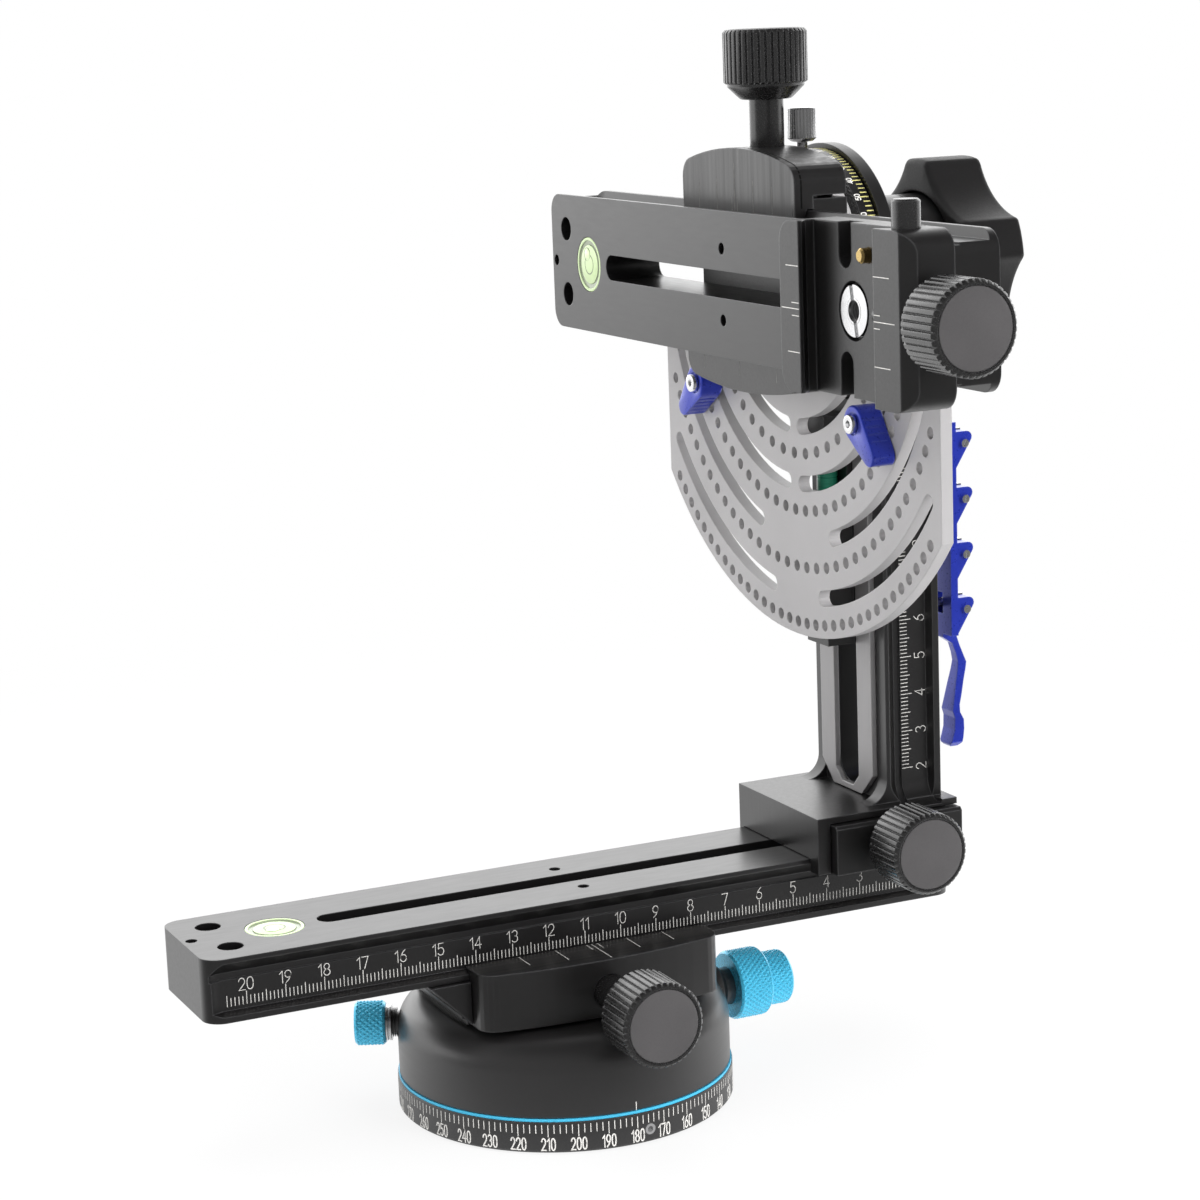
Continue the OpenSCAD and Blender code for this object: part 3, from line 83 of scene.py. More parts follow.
# Places taken over from the part's source, in millimetres
RING_R = 43.6
DRUM_R = 43.1
RAIL_BAND_Y = 16.0
SCALE_ZERO_X = 110.0
COLUMN_ZERO_Z = 57.0
DIAL_R = 31.7
DIAL_BACK_X = 82.05
JAW_FACE_X = 57.55
QUICK_FACE_X = 33.8
CAMERA_FACE_X = 46.6
LOWER_RAIL_TOP = 57.35
CLAMP_TOP_Z = 44.3
PIN_ROWS_Z = (161.58, 146.61, 131.64, 116.67)
PLUNGER_Z = 20.3
LOCK_Z = 20.4
LOCK_ANGLE = math.radians(155)
CLAMP_KNOB_R = 10.75
CLAMP_KNOB_LENGTH = 17.6
STOP_SLOT_R = 54.3

# The tilt dial's dimpled grip: where it starts, its width, the width of a row and the dimples round it
GRIP_X = 75.55
GRIP_WIDTH = 2.3
GRIP_ROW = 0.767
GRIP_DIMPLES = 120
GRIP_DEPTH = 0.14

# The lobed knob: radius of its lobes, radius and place of the circles that cut its valleys, and its two ends
LOBE_R = 27.5
VALLEY_R = 26.4
VALLEY_AT = 48.4
LOBE_X = (109.5, 126.5)

# The photograph's camera, in metres and degrees
CAMERA_PLACE = (-0.29733, -0.68442, 0.27940)
CAMERA_YAW, CAMERA_PITCH, CAMERA_ROLL = 24.53, -11.3, -2.17


# Settings


def distance(name, text, default, low, high, precision):
    """A length in metres with its range and the decimals shown."""
    return bpy.props.FloatProperty(name=name, description=text, default=default, min=low, max=high,
                                   unit="LENGTH", precision=precision)


def tint(name, text, default):
    """A colour from 0 to 1."""
    return bpy.props.FloatVectorProperty(name=name, description=text, default=default, size=3, subtype="COLOR",
                                         min=0, max=1)


def share(name, text, default, high):
    """A plain number from 0 up."""
    return bpy.props.FloatProperty(name=name, description=text, default=default, min=0, max=high)


def power(name, text, default):
    """A lamp's power in watts."""
    return bpy.props.FloatProperty(name=name, description=text, default=default, min=0, max=100, unit="POWER")


class HeadSizes(bpy.types.PropertyGroup):
    """Sizes of the pieces that are made here."""

    scale_line: distance(
        "Scale line", "Width of the engraved scale lines", 0.0002, 0.00005, 0.0006, 5)
    numeral_height: distance(
        "Rail numerals", "Height of the numerals on the rail and the column", 0.003, 0.001, 0.004, 4)
    ring_numeral_height: distance(
        "Ring numerals", "Height of the numerals on the degree ring", 0.00305, 0.001, 0.0034, 4)
    line_proud: distance(
        "Line height", "How far the filled lines stand proud of the metal", 0.00002, 0.00001, 0.0001, 6)
    knurl_pitch: distance(
        "Knurl pitch", "Spacing of the diamond knurl on the turntable's knobs", 0.00145, 0.0008, 0.003, 5)
    knurl_depth: distance(
        "Knurl depth", "Depth of the diamond knurl", 0.0004, 0.0001, 0.0006, 5)
    knob_ribs: bpy.props.IntProperty(
        name="Knob ribs", description="Number of ribs round a clamp knob", default=40, min=12, max=60)
    rib_depth: distance(
        "Rib depth", "Depth of the grooves between the clamp knobs' ribs", 0.00055, 0.0001, 0.001, 5)
    thumb_ribs: bpy.props.IntProperty(
        name="Thumbscrew ribs", description="Number of ribs round the thumbscrew", default=26, min=12, max=40)
    lobe_round: distance(
        "Lobe edge", "Edge radius of the lobed knob", 0.0016, 0.0004, 0.003, 4)
    lever_rib_pitch: distance(
        "Lever ribs", "Spacing of the ribs across the stop levers' sides", 0.0021, 0.001, 0.004, 4)
    edge_round: distance(
        "Edge radius", "Radius at which the metal's edges look broken", 0.0004, 0.0001, 0.001, 5)


class HeadColours(bpy.types.PropertyGroup):
    """Colours of the finishes."""

    anodised_black: tint("Black", "Black anodised rails, clamps and drum", (0.0062, 0.0058, 0.0060))
    knob_black: tint("Knob black", "Black anodised clamp knobs", (0.0070, 0.0066, 0.0068))
    plate_grey: tint("Plate grey", "Blasted grey of the index plate and the slot's liner", (0.45, 0.44, 0.445))
    cyan: tint("Cyan", "Knurled knobs of the turntable", (0.085, 0.62, 0.95))
    blue: tint("Blue", "Index lever and stop levers", (0.012, 0.032, 0.44))
    steel: tint("Steel", "Screws and pins", (0.72, 0.72, 0.725))
    brass: tint("Brass", "Safety pin and lock shoe", (0.62, 0.44, 0.17))
    level_green: tint("Level green", "Liquid of the spirit levels", (0.58, 0.74, 0.38))
    barrel_green: tint("Barrel green", "Spring barrel in the index housing", (0.015, 0.22, 0.13))
    line_white: tint("Line white", "Filling of the engraved lines and numerals", (0.50, 0.49, 0.47))
    line_yellow: tint("Line yellow", "Filling of the tilt dial's divisions", (0.60, 0.56, 0.20))


class StudioSettings(bpy.types.PropertyGroup):
    """Floor, lamps and camera."""

    floor_size: bpy.props.FloatProperty(
        name="Floor", description="Width of the floor", default=9.0, min=2, max=30, unit="LENGTH")
    top_power: power("Top lamp", "Power of the soft lamp overhead", 11.0)
    side_power: power("Side lamps", "Power of each soft lamp at the sides", 8.0)
    room_light: share("Room light", "Strength of the light from all round", 0.62, 2)
    front_shine: share("Front in reflections", "How bright the room in front is in reflections", 0.18, 1)
    back_shine: share("Back in reflections", "How bright the far wall is in reflections", 2.1, 3)
    ceiling_shine: share("Ceiling in reflections", "How bright the ceiling is in reflections", 0.3, 1)
    lens: bpy.props.FloatProperty(
        name="Lens", description="Focal length of the camera", default=90.22, min=20, max=300,
        subtype="DISTANCE_CAMERA")


# Places: an origin and three square directions


def unit(v):
    """Direction of v with a length of one."""
    v = np.asarray(v, float)
    return v / np.linalg.norm(v)


class Place:
    """An origin with the directions across, up and out, where across x up = out."""

    def __init__(self, origin, out, across):
        self.origin = np.asarray(origin, float)
        self.out, self.across = unit(out), unit(across)
        self.up = np.cross(self.out, self.across)

    def at(self, a, b, c):
        """Point with the coordinates a, b and c along across, up and out."""
        a, b, c = (np.asarray(v, float)[..., None] for v in np.broadcast_arrays(a, b, c))
        return self.origin + a * self.across + b * self.up + c * self.out


def on_plane(place):
    """Marks lie flat: s runs across, t up and h out of the plane."""
    return lambda s, t, h: place.at(s, t, h)


def on_round(place, radius):
    """Marks wrap round a cylinder about out: the angle from across is s / radius, and h adds to the radius."""
    return lambda s, t, h: place.at((radius + h) * np.cos(s / radius), (radius + h) * np.sin(s / radius), t)


def on_outline(place, outline):
    """Marks follow a flat outline: s is the length along it, h goes out from it and t along the place's out."""
    step = np.diff(outline, axis=0)
    length = np.concatenate([[0], np.cumsum(np.hypot(*step.T))])
    way = np.gradient(outline, length, axis=0)
    way /= np.linalg.norm(way, axis=1)[:, None]

    def put(s, t, h):
        x, y = (np.interp(s, length, outline[:, i]) for i in (0, 1))
        dx, dy = (np.interp(s, length, way[:, i]) for i in (0, 1))
        return place.at(x + h * dy, y - h * dx, t)

    return put, length[-1]


# Meshes


def outward(points, faces):
    """Turns all faces of a closed shape round if its signed volume, the sum of a . (b x c) / 6, is below zero."""
    volume = 0.0
    for f in faces:
        a, b = points[f[:, 0]], points[f[:, 1]]
        for k in range(2, f.shape[1]):
            c = points[f[:, k]]
            volume += float((a * np.cross(b, c)).sum())
            b = c
    return [f[:, ::-1] for f in faces] if volume < 0 else faces


def piece(name, body, shape, finishes, bands=None, smooth=35.0, replaces=()):
    """A mesh piece riding on a body.

    The shape is its points in millimetres and its arrays of faces. Bands number the finish of each face when
    there are several.
    """
    points, faces = np.asarray(shape[0], float), shape[1]
    centre = points.mean(0)
    faces = outward(points - centre, faces)
    mesh = bpy.data.meshes.new(name)
    mesh.from_pydata((points * MM).tolist(), [], [row for f in faces for row in f.tolist()])
    for made in [finishes] if isinstance(finishes, str) else finishes:
        mesh.materials.append(finish(made))
    if bands is not None:
        mesh.polygons.foreach_set("material_index", np.concatenate(bands).astype(np.int32))
    mesh.polygons.foreach_set("use_smooth", np.ones(len(mesh.polygons), bool))
    mesh.set_sharp_from_angle(angle=math.radians(smooth))
    mesh.update()
    made = bpy.data.objects.new(name, mesh)
    bpy.context.scene.collection.objects.link(made)
    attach(made, body)
    if replaces:
        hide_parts(*replaces)
    return made


def turned(place, angles, radii, heights, closed=False):
    """A surface turned about out.

    Row i, column j is radii[i, j] from the axis at angles[j] and heights[i, j] along it. A closed profile joins
    its last row to its first. An open one ends on the axis at both ends, in one point each.
    """
    radii, heights = np.broadcast_arrays(np.asarray(radii, float), np.asarray(heights, float))
    m, n = radii.shape
    grid = place.at(radii * np.cos(angles), radii * np.sin(angles), heights)
    j = np.arange(n)
    k = (j + 1) % n
    rows = m if closed else m - 2
    start = 0 if closed else 1
    i = np.arange(rows if closed else rows - 1)[:, None]
    i2 = (i + 1) % rows
    quads = np.stack([i * n + j, i * n + k, i2 * n + k, i2 * n + j], -1).reshape(-1, 4)
    points = grid[start:start + rows].reshape(-1, 3)
    if closed:
        return points, [quads]
    low, high = len(points), len(points) + 1
    points = np.vstack([points, grid[0, :1], grid[-1, :1]])
    last = (rows - 1) * n
    fans = np.vstack([np.stack([np.full(n, low), k, j], -1),
                      np.stack([last + j, last + k, np.full(n, high)], -1)])
    return points, [quads, fans]


def rows_of(profile, angles, shape=None):
    """Radii and heights of a profile of (radius, height) points, reshaped by shape(radius, height, angle)."""
    profile = np.asarray(profile, float)
    radii = np.repeat(profile[:, :1], len(angles), 1)
    heights = np.repeat(profile[:, 1:2], len(angles), 1)
    if shape is not None:
        radii = shape(radii, heights, angles[None, :])
    return radii, heights


def eased(points, radius, steps=4):
    """A profile whose corners are rounded by a parabola that starts and ends at the radius from each corner."""
    points = np.asarray(points, float)
    a, b, c = points[:-2], points[1:-1], points[2:]
    back, on = a - b, c - b
    lb, lo = np.linalg.norm(back, axis=1), np.linalg.norm(on, axis=1)
    r = np.minimum(radius, np.minimum(lb, lo) * 0.45)[:, None]
    p, q = b + back / lb[:, None] * r, b + on / lo[:, None] * r
    t = np.linspace(0, 1, steps + 1)[None, :, None]
    curve = (1 - t) ** 2 * p[:, None] + 2 * t * (1 - t) * b[:, None] + t * t * q[:, None]
    return np.vstack([points[:1], curve.reshape(-1, 2), points[-1:]])


def around(n):
    """n even angles of one turn."""
    return np.linspace(0, 2 * np.pi, n, endpoint=False)


def saw(x):
    """A triangle wave from 0 to 1 and back in one unit of x."""
    return 1 - np.abs(2 * (x - np.floor(x)) - 1)


def diamonds(angle, height, count, pitch):
    """Diamond knurl, 1 on the points and 0 in the grooves: the lower of two triangle waves wound both ways."""
    turn = count * angle / (2 * np.pi)
    return np.minimum(saw(turn + height / pitch), saw(turn - height / pitch))


def ribs(angle, count):
    """Straight ribs, 0 on their crowns and 1 in the rounded grooves between them."""
    x = np.abs((angle * count / (2 * np.pi)) % 1 - 0.5)
    g = np.clip((0.5 - x) / 0.24, 0, 1)
    return 1 - g * g * (3 - 2 * g)


def six_sided(angle, half):
    """Radius of a hexagon whose flats are half from its centre."""
    return half / np.cos((angle + np.pi / 6) % (np.pi / 3) - np.pi / 6)


def slotted_disc(place, radius, low, high, slot, depth, turn=0.0):
    """A screw head as a grid of chords.

    Chord y is sqrt(radius^2 - y^2) long each way, and the chords inside the slot lie depth lower.
    """
    edge, rim_y = slot / 2, radius * 0.999
    y = np.unique(np.concatenate([np.linspace(-rim_y, -edge, 12), [-edge + 0.01, edge - 0.01],
                                  np.linspace(edge, rim_y, 12)]))
    half = np.sqrt(radius ** 2 - y ** 2)
    s = np.linspace(-1, 1, 9)
    gx, gy = half[:, None] * s[None, :], np.repeat(y[:, None], len(s), 1)
    top = np.where(np.abs(gy) < edge - 1e-4, high - depth, high)
    c, sn = math.cos(turn), math.sin(turn)
    px, py = gx * c - gy * sn, gx * sn + gy * c
    points = np.vstack([place.at(px, py, level).reshape(-1, 3) for level in (top, low)])
    m, n = gx.shape
    i, j = np.arange(m - 1)[:, None], np.arange(n - 1)[None, :]
    upper = np.stack([i * n + j, i * n + j + 1, (i + 1) * n + j + 1, (i + 1) * n + j], -1).reshape(-1, 4)
    lower = upper[:, ::-1] + m * n
    rim = np.concatenate([np.arange(n), np.arange(1, m) * n + n - 1, (m - 1) * n + np.arange(n - 2, -1, -1),
                          np.arange(m - 2, 0, -1) * n])
    after = np.roll(rim, -1)
    wall = np.stack([rim, rim + m * n, after + m * n, after], -1)
    return points, [np.vstack([upper, lower, wall])]


def joined(shapes):
    """Several shapes as one list of points and faces."""
    points, faces, base = [], [], 0
    for p, f in shapes:
        points.append(p)
        faces.extend(x + base for x in f)
        base += len(p)
    return np.vstack(points), faces


# Engraved lines and numerals


def bow(x, y, rx, ry, start, end, n=14):
    """Part of an ellipse round (x, y), from one angle to another in degrees."""
    a = np.radians(np.linspace(start, end, n))
    return np.stack([x + rx * np.cos(a), y + ry * np.sin(a)], 1)


def oval(x, y, rx, ry, n=24, power=0.82):
    """A superellipse, fuller than an ellipse."""
    a = np.linspace(0, 2 * np.pi, n + 1)
    return np.stack([x + rx * np.sign(np.cos(a)) * np.abs(np.cos(a)) ** power,
                     y + ry * np.sign(np.sin(a)) * np.abs(np.sin(a)) ** power], 1)


SIX = [bow(0.3, 0.3, 0.29, 0.3, 0, 360, 20), np.array([(0.5, 1.0), (0.25, 0.8), (0.08, 0.5), (0.01, 0.3)])]
FIGURES = {
    "0": [oval(0.3, 0.5, 0.29, 0.5)],
    "1": [np.array([(0.04, 0.78), (0.3, 1.0), (0.3, 0.0)])],
    "2": [np.vstack([bow(0.3, 0.7, 0.28, 0.3, 170, -40), [(0.02, 0.0), (0.6, 0.0)]])],
    "3": [bow(0.28, 0.75, 0.26, 0.25, 150, -80), bow(0.28, 0.27, 0.3, 0.27, 80, -150)],
    "4": [np.array([(0.47, 0.0), (0.47, 1.0), (0.0, 0.3), (0.62, 0.3)])],
    "5": [np.vstack([[(0.55, 1.0), (0.1, 1.0), (0.06, 0.55)], bow(0.28, 0.32, 0.3, 0.32, 130, -150)])],
    "6": SIX,
    "7": [np.array([(0.0, 1.0), (0.6, 1.0), (0.22, 0.0)])],
    "8": [bow(0.3, 0.76, 0.25, 0.24, -90, 270, 18), bow(0.3, 0.26, 0.3, 0.26, 90, 450, 20)],
    "9": [np.array([0.6, 1.0]) - stroke for stroke in SIX],
}


class Engraving:
    """Strokes on a flat drawing, which become thin filled ribbons on a surface."""

    def __init__(self):
        self.strokes = []

    def line(self, points, width):
        self.strokes.append((np.asarray(points, float), width))

    def number(self, text, s, t, height, width, gap, stroke):
        """Figures centred on s with their feet at t: each is width wide, and a 1 takes 0.57 of that."""
        wide = [width * (0.57 if c == "1" else 1.0) for c in text]
        x = s - (sum(wide) + gap * (len(text) - 1)) / 2
        for c, w in zip(text, wide):
            for path in FIGURES[c]:
                self.line(path * [width / 0.6, height] + [x, t], stroke)
            x += w + gap

    def shape(self, put, proud, sunk=0.05):
        """Each stroke as a closed ribbon.

        Its edges lie half a width along the joint normals, its top proud and its bottom sunk.
        """
        points, faces, base = [], [], 0
        for path, width in self.strokes:
            step = np.diff(path, axis=0)
            way = step / np.linalg.norm(step, axis=1)[:, None]
            normal = np.stack([-way[:, 1], way[:, 0]], 1)
            joint = np.vstack([normal[:1], normal[:-1] + normal[1:], normal[-1:]])
            joint /= np.linalg.norm(joint, axis=1)[:, None]
            lean = np.clip((joint * np.vstack([normal[:1], normal])).sum(1), 0.5, 1)
            side = joint * (width / 2 / lean)[:, None]
            middle = path.copy()
            middle[0] -= way[0] * width / 2
            middle[-1] += way[-1] * width / 2
            left, right = middle + side, middle - side
            ring = np.stack([put(left[:, 0], left[:, 1], proud), put(right[:, 0], right[:, 1], proud),
                             put(right[:, 0], right[:, 1], -sunk), put(left[:, 0], left[:, 1], -sunk)], 1)
            n = len(path)
            i, j = np.arange(n - 1)[:, None] * 4, np.arange(4)[None, :]
            k = (j + 1) % 4
            tube = np.stack([i + j, i + k, i + 4 + k, i + 4 + j], -1).reshape(-1, 4)
            ends = np.array([[3, 2, 1, 0], [0, 1, 2, 3]]) + [[0], [4 * (n - 1)]]
            points.append(ring.reshape(-1, 3))
            faces.append(np.vstack([tube, ends]) + base)
            base += 4 * n
        return np.vstack(points), [np.vstack(faces)]


def centimetre_scale(numbers, zero, sign, low, high, way, numeral_t, sizes):
    """A centimetre scale: a line each millimetre from low to high, longer at 5 and 10.

    Number n stands at s = zero + sign * 10 n with its feet at numeral_t, and the lines run from t = 0 up or down
    by way.
    """
    drawn = Engraving()
    stroke, tall = sizes.scale_line / MM, sizes.numeral_height / MM
    for step in range(low, high + 1):
        top = 3.2 if step % 10 == 0 else 2.7 if step % 5 == 0 else 2.0
        s = zero + sign * step
        drawn.line([(s, way * stroke / 2), (s, way * top)], stroke)
    for n in numbers:
        drawn.number(str(n), zero + sign * 10 * n, numeral_t, tall, 1.62, 0.5, stroke)
    return drawn


# Finishes


class Finish:
    """One procedural finish on a Principled shader.

    Slow noise on Object coordinates varies the colour, fine noise stretched along the tool marks varies the
    roughness and gives the relief, and the Bevel node rounds the edges. Where the rounded normal leaves the
    face's own normal, the paler edge colour is mixed in as a painted highlight along the edges.
    """

    made = {}

    def __init__(self, name, colour, roughness, metallic=0.0, ior=1.5, grain=(900, 900, 900), spread=0.05,
                 relief=0.12, depth=0.00002, clouds=35.0, shift=0.12, edge=None, edge_highlight=0.5, radius=0.0003,
                 coat=0.0, coat_roughness=0.2):
        material = bpy.data.materials.new(name)
        material.use_nodes = True
        self.tree = material.node_tree
        self.tree.nodes.clear()
        out = self.add("ShaderNodeOutputMaterial", 900, 0)
        shader = self.add("ShaderNodeBsdfPrincipled", 620, 0)
        self.join(shader.outputs["BSDF"], out.inputs["Surface"])
        for socket, value in (("Metallic", metallic), ("IOR", ior), ("Coat Weight", coat),
                              ("Coat Roughness", coat_roughness)):
            shader.inputs[socket].default_value = value
        where = self.add("ShaderNodeTexCoord", -1100, 0).outputs["Object"]
        stretch = self.add("ShaderNodeMapping", -900, -150)
        stretch.inputs["Scale"].default_value = grain
        self.join(where, stretch.inputs["Vector"])
        fine = self.add("ShaderNodeTexNoise", -680, -150)
        fine.inputs["Scale"].default_value = 1.0
        fine.inputs["Detail"].default_value = 4.0
        fine.inputs["Roughness"].default_value = 0.62
        self.join(stretch.outputs["Vector"], fine.inputs["Vector"])
        slow = self.add("ShaderNodeTexNoise", -680, 150)
        slow.inputs["Scale"].default_value = clouds
        slow.inputs["Detail"].default_value = 3.0
        self.join(where, slow.inputs["Vector"])
        tone = self.add("ShaderNodeValToRGB", -420, 200)
        base = np.array(colour, float)
        for stop, place, factor in ((0, 0.32, 1 - shift), (1, 0.68, 1 + shift)):
            tone.color_ramp.elements[stop].position = place
            tone.color_ramp.elements[stop].color = (*np.clip(base * factor, 0, 1), 1)
        self.join(slow.outputs["Fac"], tone.inputs["Fac"])
        rough = self.add("ShaderNodeMapRange", -420, -120)
        rough.inputs["From Min"].default_value = 0.3
        rough.inputs["From Max"].default_value = 0.7
        rough.inputs["To Min"].default_value = max(0.02, roughness - spread)
        rough.inputs["To Max"].default_value = min(1.0, roughness + spread)
        self.join(fine.outputs["Fac"], rough.inputs["Value"])
        self.join(rough.outputs["Result"], shader.inputs["Roughness"])
        bevel = self.add("ShaderNodeBevel", -420, -420)
        bevel.samples = 4
        bevel.inputs["Radius"].default_value = radius
        bump = self.add("ShaderNodeBump", 120, -300)
        bump.inputs["Strength"].default_value = relief
        bump.inputs["Distance"].default_value = depth
        self.join(fine.outputs["Fac"], bump.inputs["Height"])
        self.join(bevel.outputs["Normal"], bump.inputs["Normal"])
        self.join(bump.outputs["Normal"], shader.inputs["Normal"])
        colour_out = tone.outputs["Color"]
        # The edge colour mixed in where the Bevel normal leaves the face's own normal is a painted highlight
        # along the edges
        if edge is not None:
            flat = self.add("ShaderNodeNewGeometry", -420, -600)
            lean = self.add("ShaderNodeVectorMath", -200, -500)
            lean.operation = "DOT_PRODUCT"
            self.join(bevel.outputs["Normal"], lean.inputs[0])
            self.join(flat.outputs["Normal"], lean.inputs[1])
            edge_glint_mask = self.add("ShaderNodeMapRange", 0, -500)
            edge_glint_mask.inputs["From Min"].default_value = 0.985
            edge_glint_mask.inputs["From Max"].default_value = 0.90
            edge_glint_mask.inputs["To Max"].default_value = edge_highlight
            self.join(lean.outputs["Value"], edge_glint_mask.inputs["Value"])
            mix = self.add("ShaderNodeMix", 300, 200)
            mix.data_type = "RGBA"
            mix_socket(mix.inputs, "B").default_value = (*edge, 1)
            self.join(edge_glint_mask.outputs["Result"], mix.inputs["Factor"])
            self.join(colour_out, mix_socket(mix.inputs, "A"))
            colour_out = mix_socket(mix.outputs, "Result")
        self.join(colour_out, shader.inputs["Base Color"])
        self.material = material
        Finish.made[name] = self

    def add(self, kind, x, y):
        node = self.tree.nodes.new(kind)
        node.location = (x, y)
        return node

    def join(self, a, b):
        self.tree.links.new(a, b)


def mix_socket(sockets, name):
    """The colour socket of that name: a Mix node has one for each data type."""
    return next(s for s in sockets if s.name == name and s.type == "RGBA")


def finish(name):
    return Finish.made[name].material


def black(name, colour, roughness, grain, **more):
    """Black anodised aluminium: a dark dyed layer with a clear, slightly grey surface, and pale edges that are a
    painted highlight.
    """
    # The pale edge colour and its share paint a highlight along the edges
    more = {"ior": 1.95, "spread": 0.06, "relief": 0.16, "shift": 0.16, "edge": (0.11, 0.11, 0.115),
            "edge_highlight": 0.42, **more}
    return Finish(name, colour, roughness, grain=grain, **more)


def paint(name, colour, roughness, clouds, shift, radius):
    """The dull filling of an engraved line."""
    return Finish(name, colour, roughness, grain=(1500, 1500, 1500), spread=0.08, relief=0.3, depth=0.00001,
                  clouds=clouds, shift=shift, radius=radius)


def scaled(colour, factor):
    """The colour made darker or lighter, up to 1."""
    return tuple(min(1.0, factor * c) for c in colour)


def make_finishes(colours, sizes):
    """All finishes of the head."""
    r = sizes.edge_round
    # Each edge colour given below is a painted highlight along that finish's edges
    dark = tuple(colours.anodised_black)
    black("rail_black_x", dark, 0.31, (120, 900, 900), radius=r, relief=0.06, spread=0.03)
    black("rail_black_y", dark, 0.31, (900, 120, 900), radius=r, relief=0.06, spread=0.03, ior=1.84)
    black("column_black", dark, 0.34, (900, 900, 90), radius=r, relief=0.08, spread=0.03)
    black("jaw_black", dark, 0.36, (520, 520, 12), radius=1.5 * r, spread=0.1, relief=0.22, ior=1.86)
    black("lower_jaw_black", dark, 0.36, (12, 520, 520), radius=1.5 * r, spread=0.08)
    black("clamp_black", dark, 0.37, (1500, 1500, 1500), radius=1.5 * r, relief=0.1, ior=1.84)
    black("spun_black", scaled(dark, 1.5), 0.36, (60, 60, 1500), ior=2.2, radius=1.5 * r, spread=0.02,
          relief=0.04)
    black("dial_black", dark, 0.36, (1300, 18, 18), radius=r)
    black("knob_black", tuple(colours.knob_black), 0.27, (700, 700, 700), radius=0.6 * r, relief=0.1, ior=2.15)
    black("cap_black", scaled(colours.knob_black, 9), 0.62, (2400, 2400, 2400), radius=0.5 * r,
          relief=0.3, depth=0.00004, edge=None)
    black("grip_black", scaled(colours.knob_black, 1.3), 0.5, (1800, 1800, 1800), radius=2 * r, relief=0.22,
          depth=0.00003, ior=1.5, edge=(0.05, 0.05, 0.052))
    black("mount_black", scaled(colours.anodised_black, 0.8), 0.45, (1500, 1500, 1500), radius=r)
    grey = tuple(colours.plate_grey)
    Finish("plate_grey", grey, 0.46, metallic=0.25, ior=1.5, grain=(2200, 2200, 2200), spread=0.07, relief=0.35,
           depth=0.00005, clouds=28, shift=0.05, edge=(0.62, 0.61, 0.60), edge_highlight=0.55, radius=1.2 * r)
    Finish("liner_grey", scaled(grey, 0.8), 0.42, metallic=0.45, grain=(1600, 1600, 60), spread=0.06, relief=0.2,
           shift=0.06, edge=(0.66, 0.65, 0.64), edge_highlight=0.6, radius=1.4 * r)
    Finish("cyan_anodised", tuple(colours.cyan), 0.27, metallic=0.4, grain=(900, 900, 900), spread=0.06,
           relief=0.1,
           shift=0.1, edge=(0.30, 0.66, 0.86), edge_highlight=0.45, radius=0.3 * r, coat=0.35, coat_roughness=0.15)
    Finish("washer_cyan", tuple(colours.cyan), 0.33, metallic=0.3, grain=(30, 30, 1500), spread=0.05, relief=0.1,
           shift=0.06, radius=0.3 * r, coat=0.2)
    Finish("blue_anodised", tuple(colours.blue), 0.31, metallic=0.45, grain=(1100, 1100, 1100), spread=0.06,
           relief=0.14,
           shift=0.1, edge=(0.13, 0.18, 0.68), edge_highlight=0.5, radius=1.3 * r, coat=0.7, coat_roughness=0.28)
    steel = tuple(colours.steel)
    Finish("steel", steel, 0.24, metallic=1.0, grain=(900, 900, 900), spread=0.04, relief=0.03, shift=0.07,
           edge=(0.85, 0.85, 0.84), edge_highlight=0.5, radius=0.5 * r)
    Finish("steel_dark", scaled(steel, 0.45), 0.38, metallic=1.0, grain=(700, 700, 700), spread=0.08,
           relief=0.16, shift=0.12, edge=(0.5, 0.5, 0.5), edge_highlight=0.5, radius=0.5 * r)
    Finish("steel_bright", scaled(steel, 1.25), 0.19, metallic=1.0, grain=(900, 900, 900),
           spread=0.06, relief=0.08, shift=0.05, edge=(0.9, 0.9, 0.89), edge_highlight=0.4, radius=0.4 * r)
    Finish("brass", tuple(colours.brass), 0.25, metallic=1.0, grain=(500, 500, 500), spread=0.07, relief=0.1,
           shift=0.12, edge=(0.85, 0.7, 0.42), edge_highlight=0.5, radius=0.5 * r)
    green = np.array(colours.level_green)
    Finish("level_rim", tuple(green * 1.05), 0.18, grain=(400, 400, 400), spread=0.04, relief=0.03, shift=0.05,
           radius=0.4 * r, coat=0.5, coat_roughness=0.05)
    Finish("level_wall", tuple(green * 0.35 + 0.12), 0.2, grain=(400, 400, 400), spread=0.05, relief=0.05,
           shift=0.12, radius=0.3 * r, coat=0.6, coat_roughness=0.05)
    Finish("level_liquid", tuple(green), 0.1, grain=(90, 90, 90), spread=0.04, relief=0.03, shift=0.09,
           clouds=160, radius=0.3 * r, coat=0.3, coat_roughness=0.03)
    Finish("level_line", (0.16, 0.2, 0.12), 0.3, grain=(600, 600, 600), shift=0.1, radius=0.2 * r)
    Finish("level_bubble", tuple(np.clip(green * 1.25, 0, 1)), 0.06, grain=(90, 90, 90), spread=0.02, relief=0.0,
           shift=0.03, radius=0.2 * r, coat=1.0, coat_roughness=0.02)
    Finish("barrel_green", tuple(colours.barrel_green), 0.3, metallic=0.4, grain=(30, 30, 1200), spread=0.06,
           shift=0.12, radius=0.4 * r, coat=0.5, coat_roughness=0.15)
    paint("line_white", tuple(colours.line_white), 0.6, 900, 0.2, 0.1 * r)
    paint("line_bright", scaled(colours.line_white, 1.5), 0.55, 900, 0.15, 0.1 * r)
    paint("line_faint", scaled(colours.line_white, 0.42), 0.6, 700, 0.35, 0.1 * r)
    paint("line_yellow", tuple(colours.line_yellow), 0.6, 900, 0.2, 0.1 * r)
    # Near-black fill for the seam behind the upper jaw's lip: a real joint, its darkness painted shade
    Finish("seam_black", (0.002, 0.002, 0.002), 0.7, grain=(1500, 1500, 1500), shift=0.2, radius=0.1 * r)


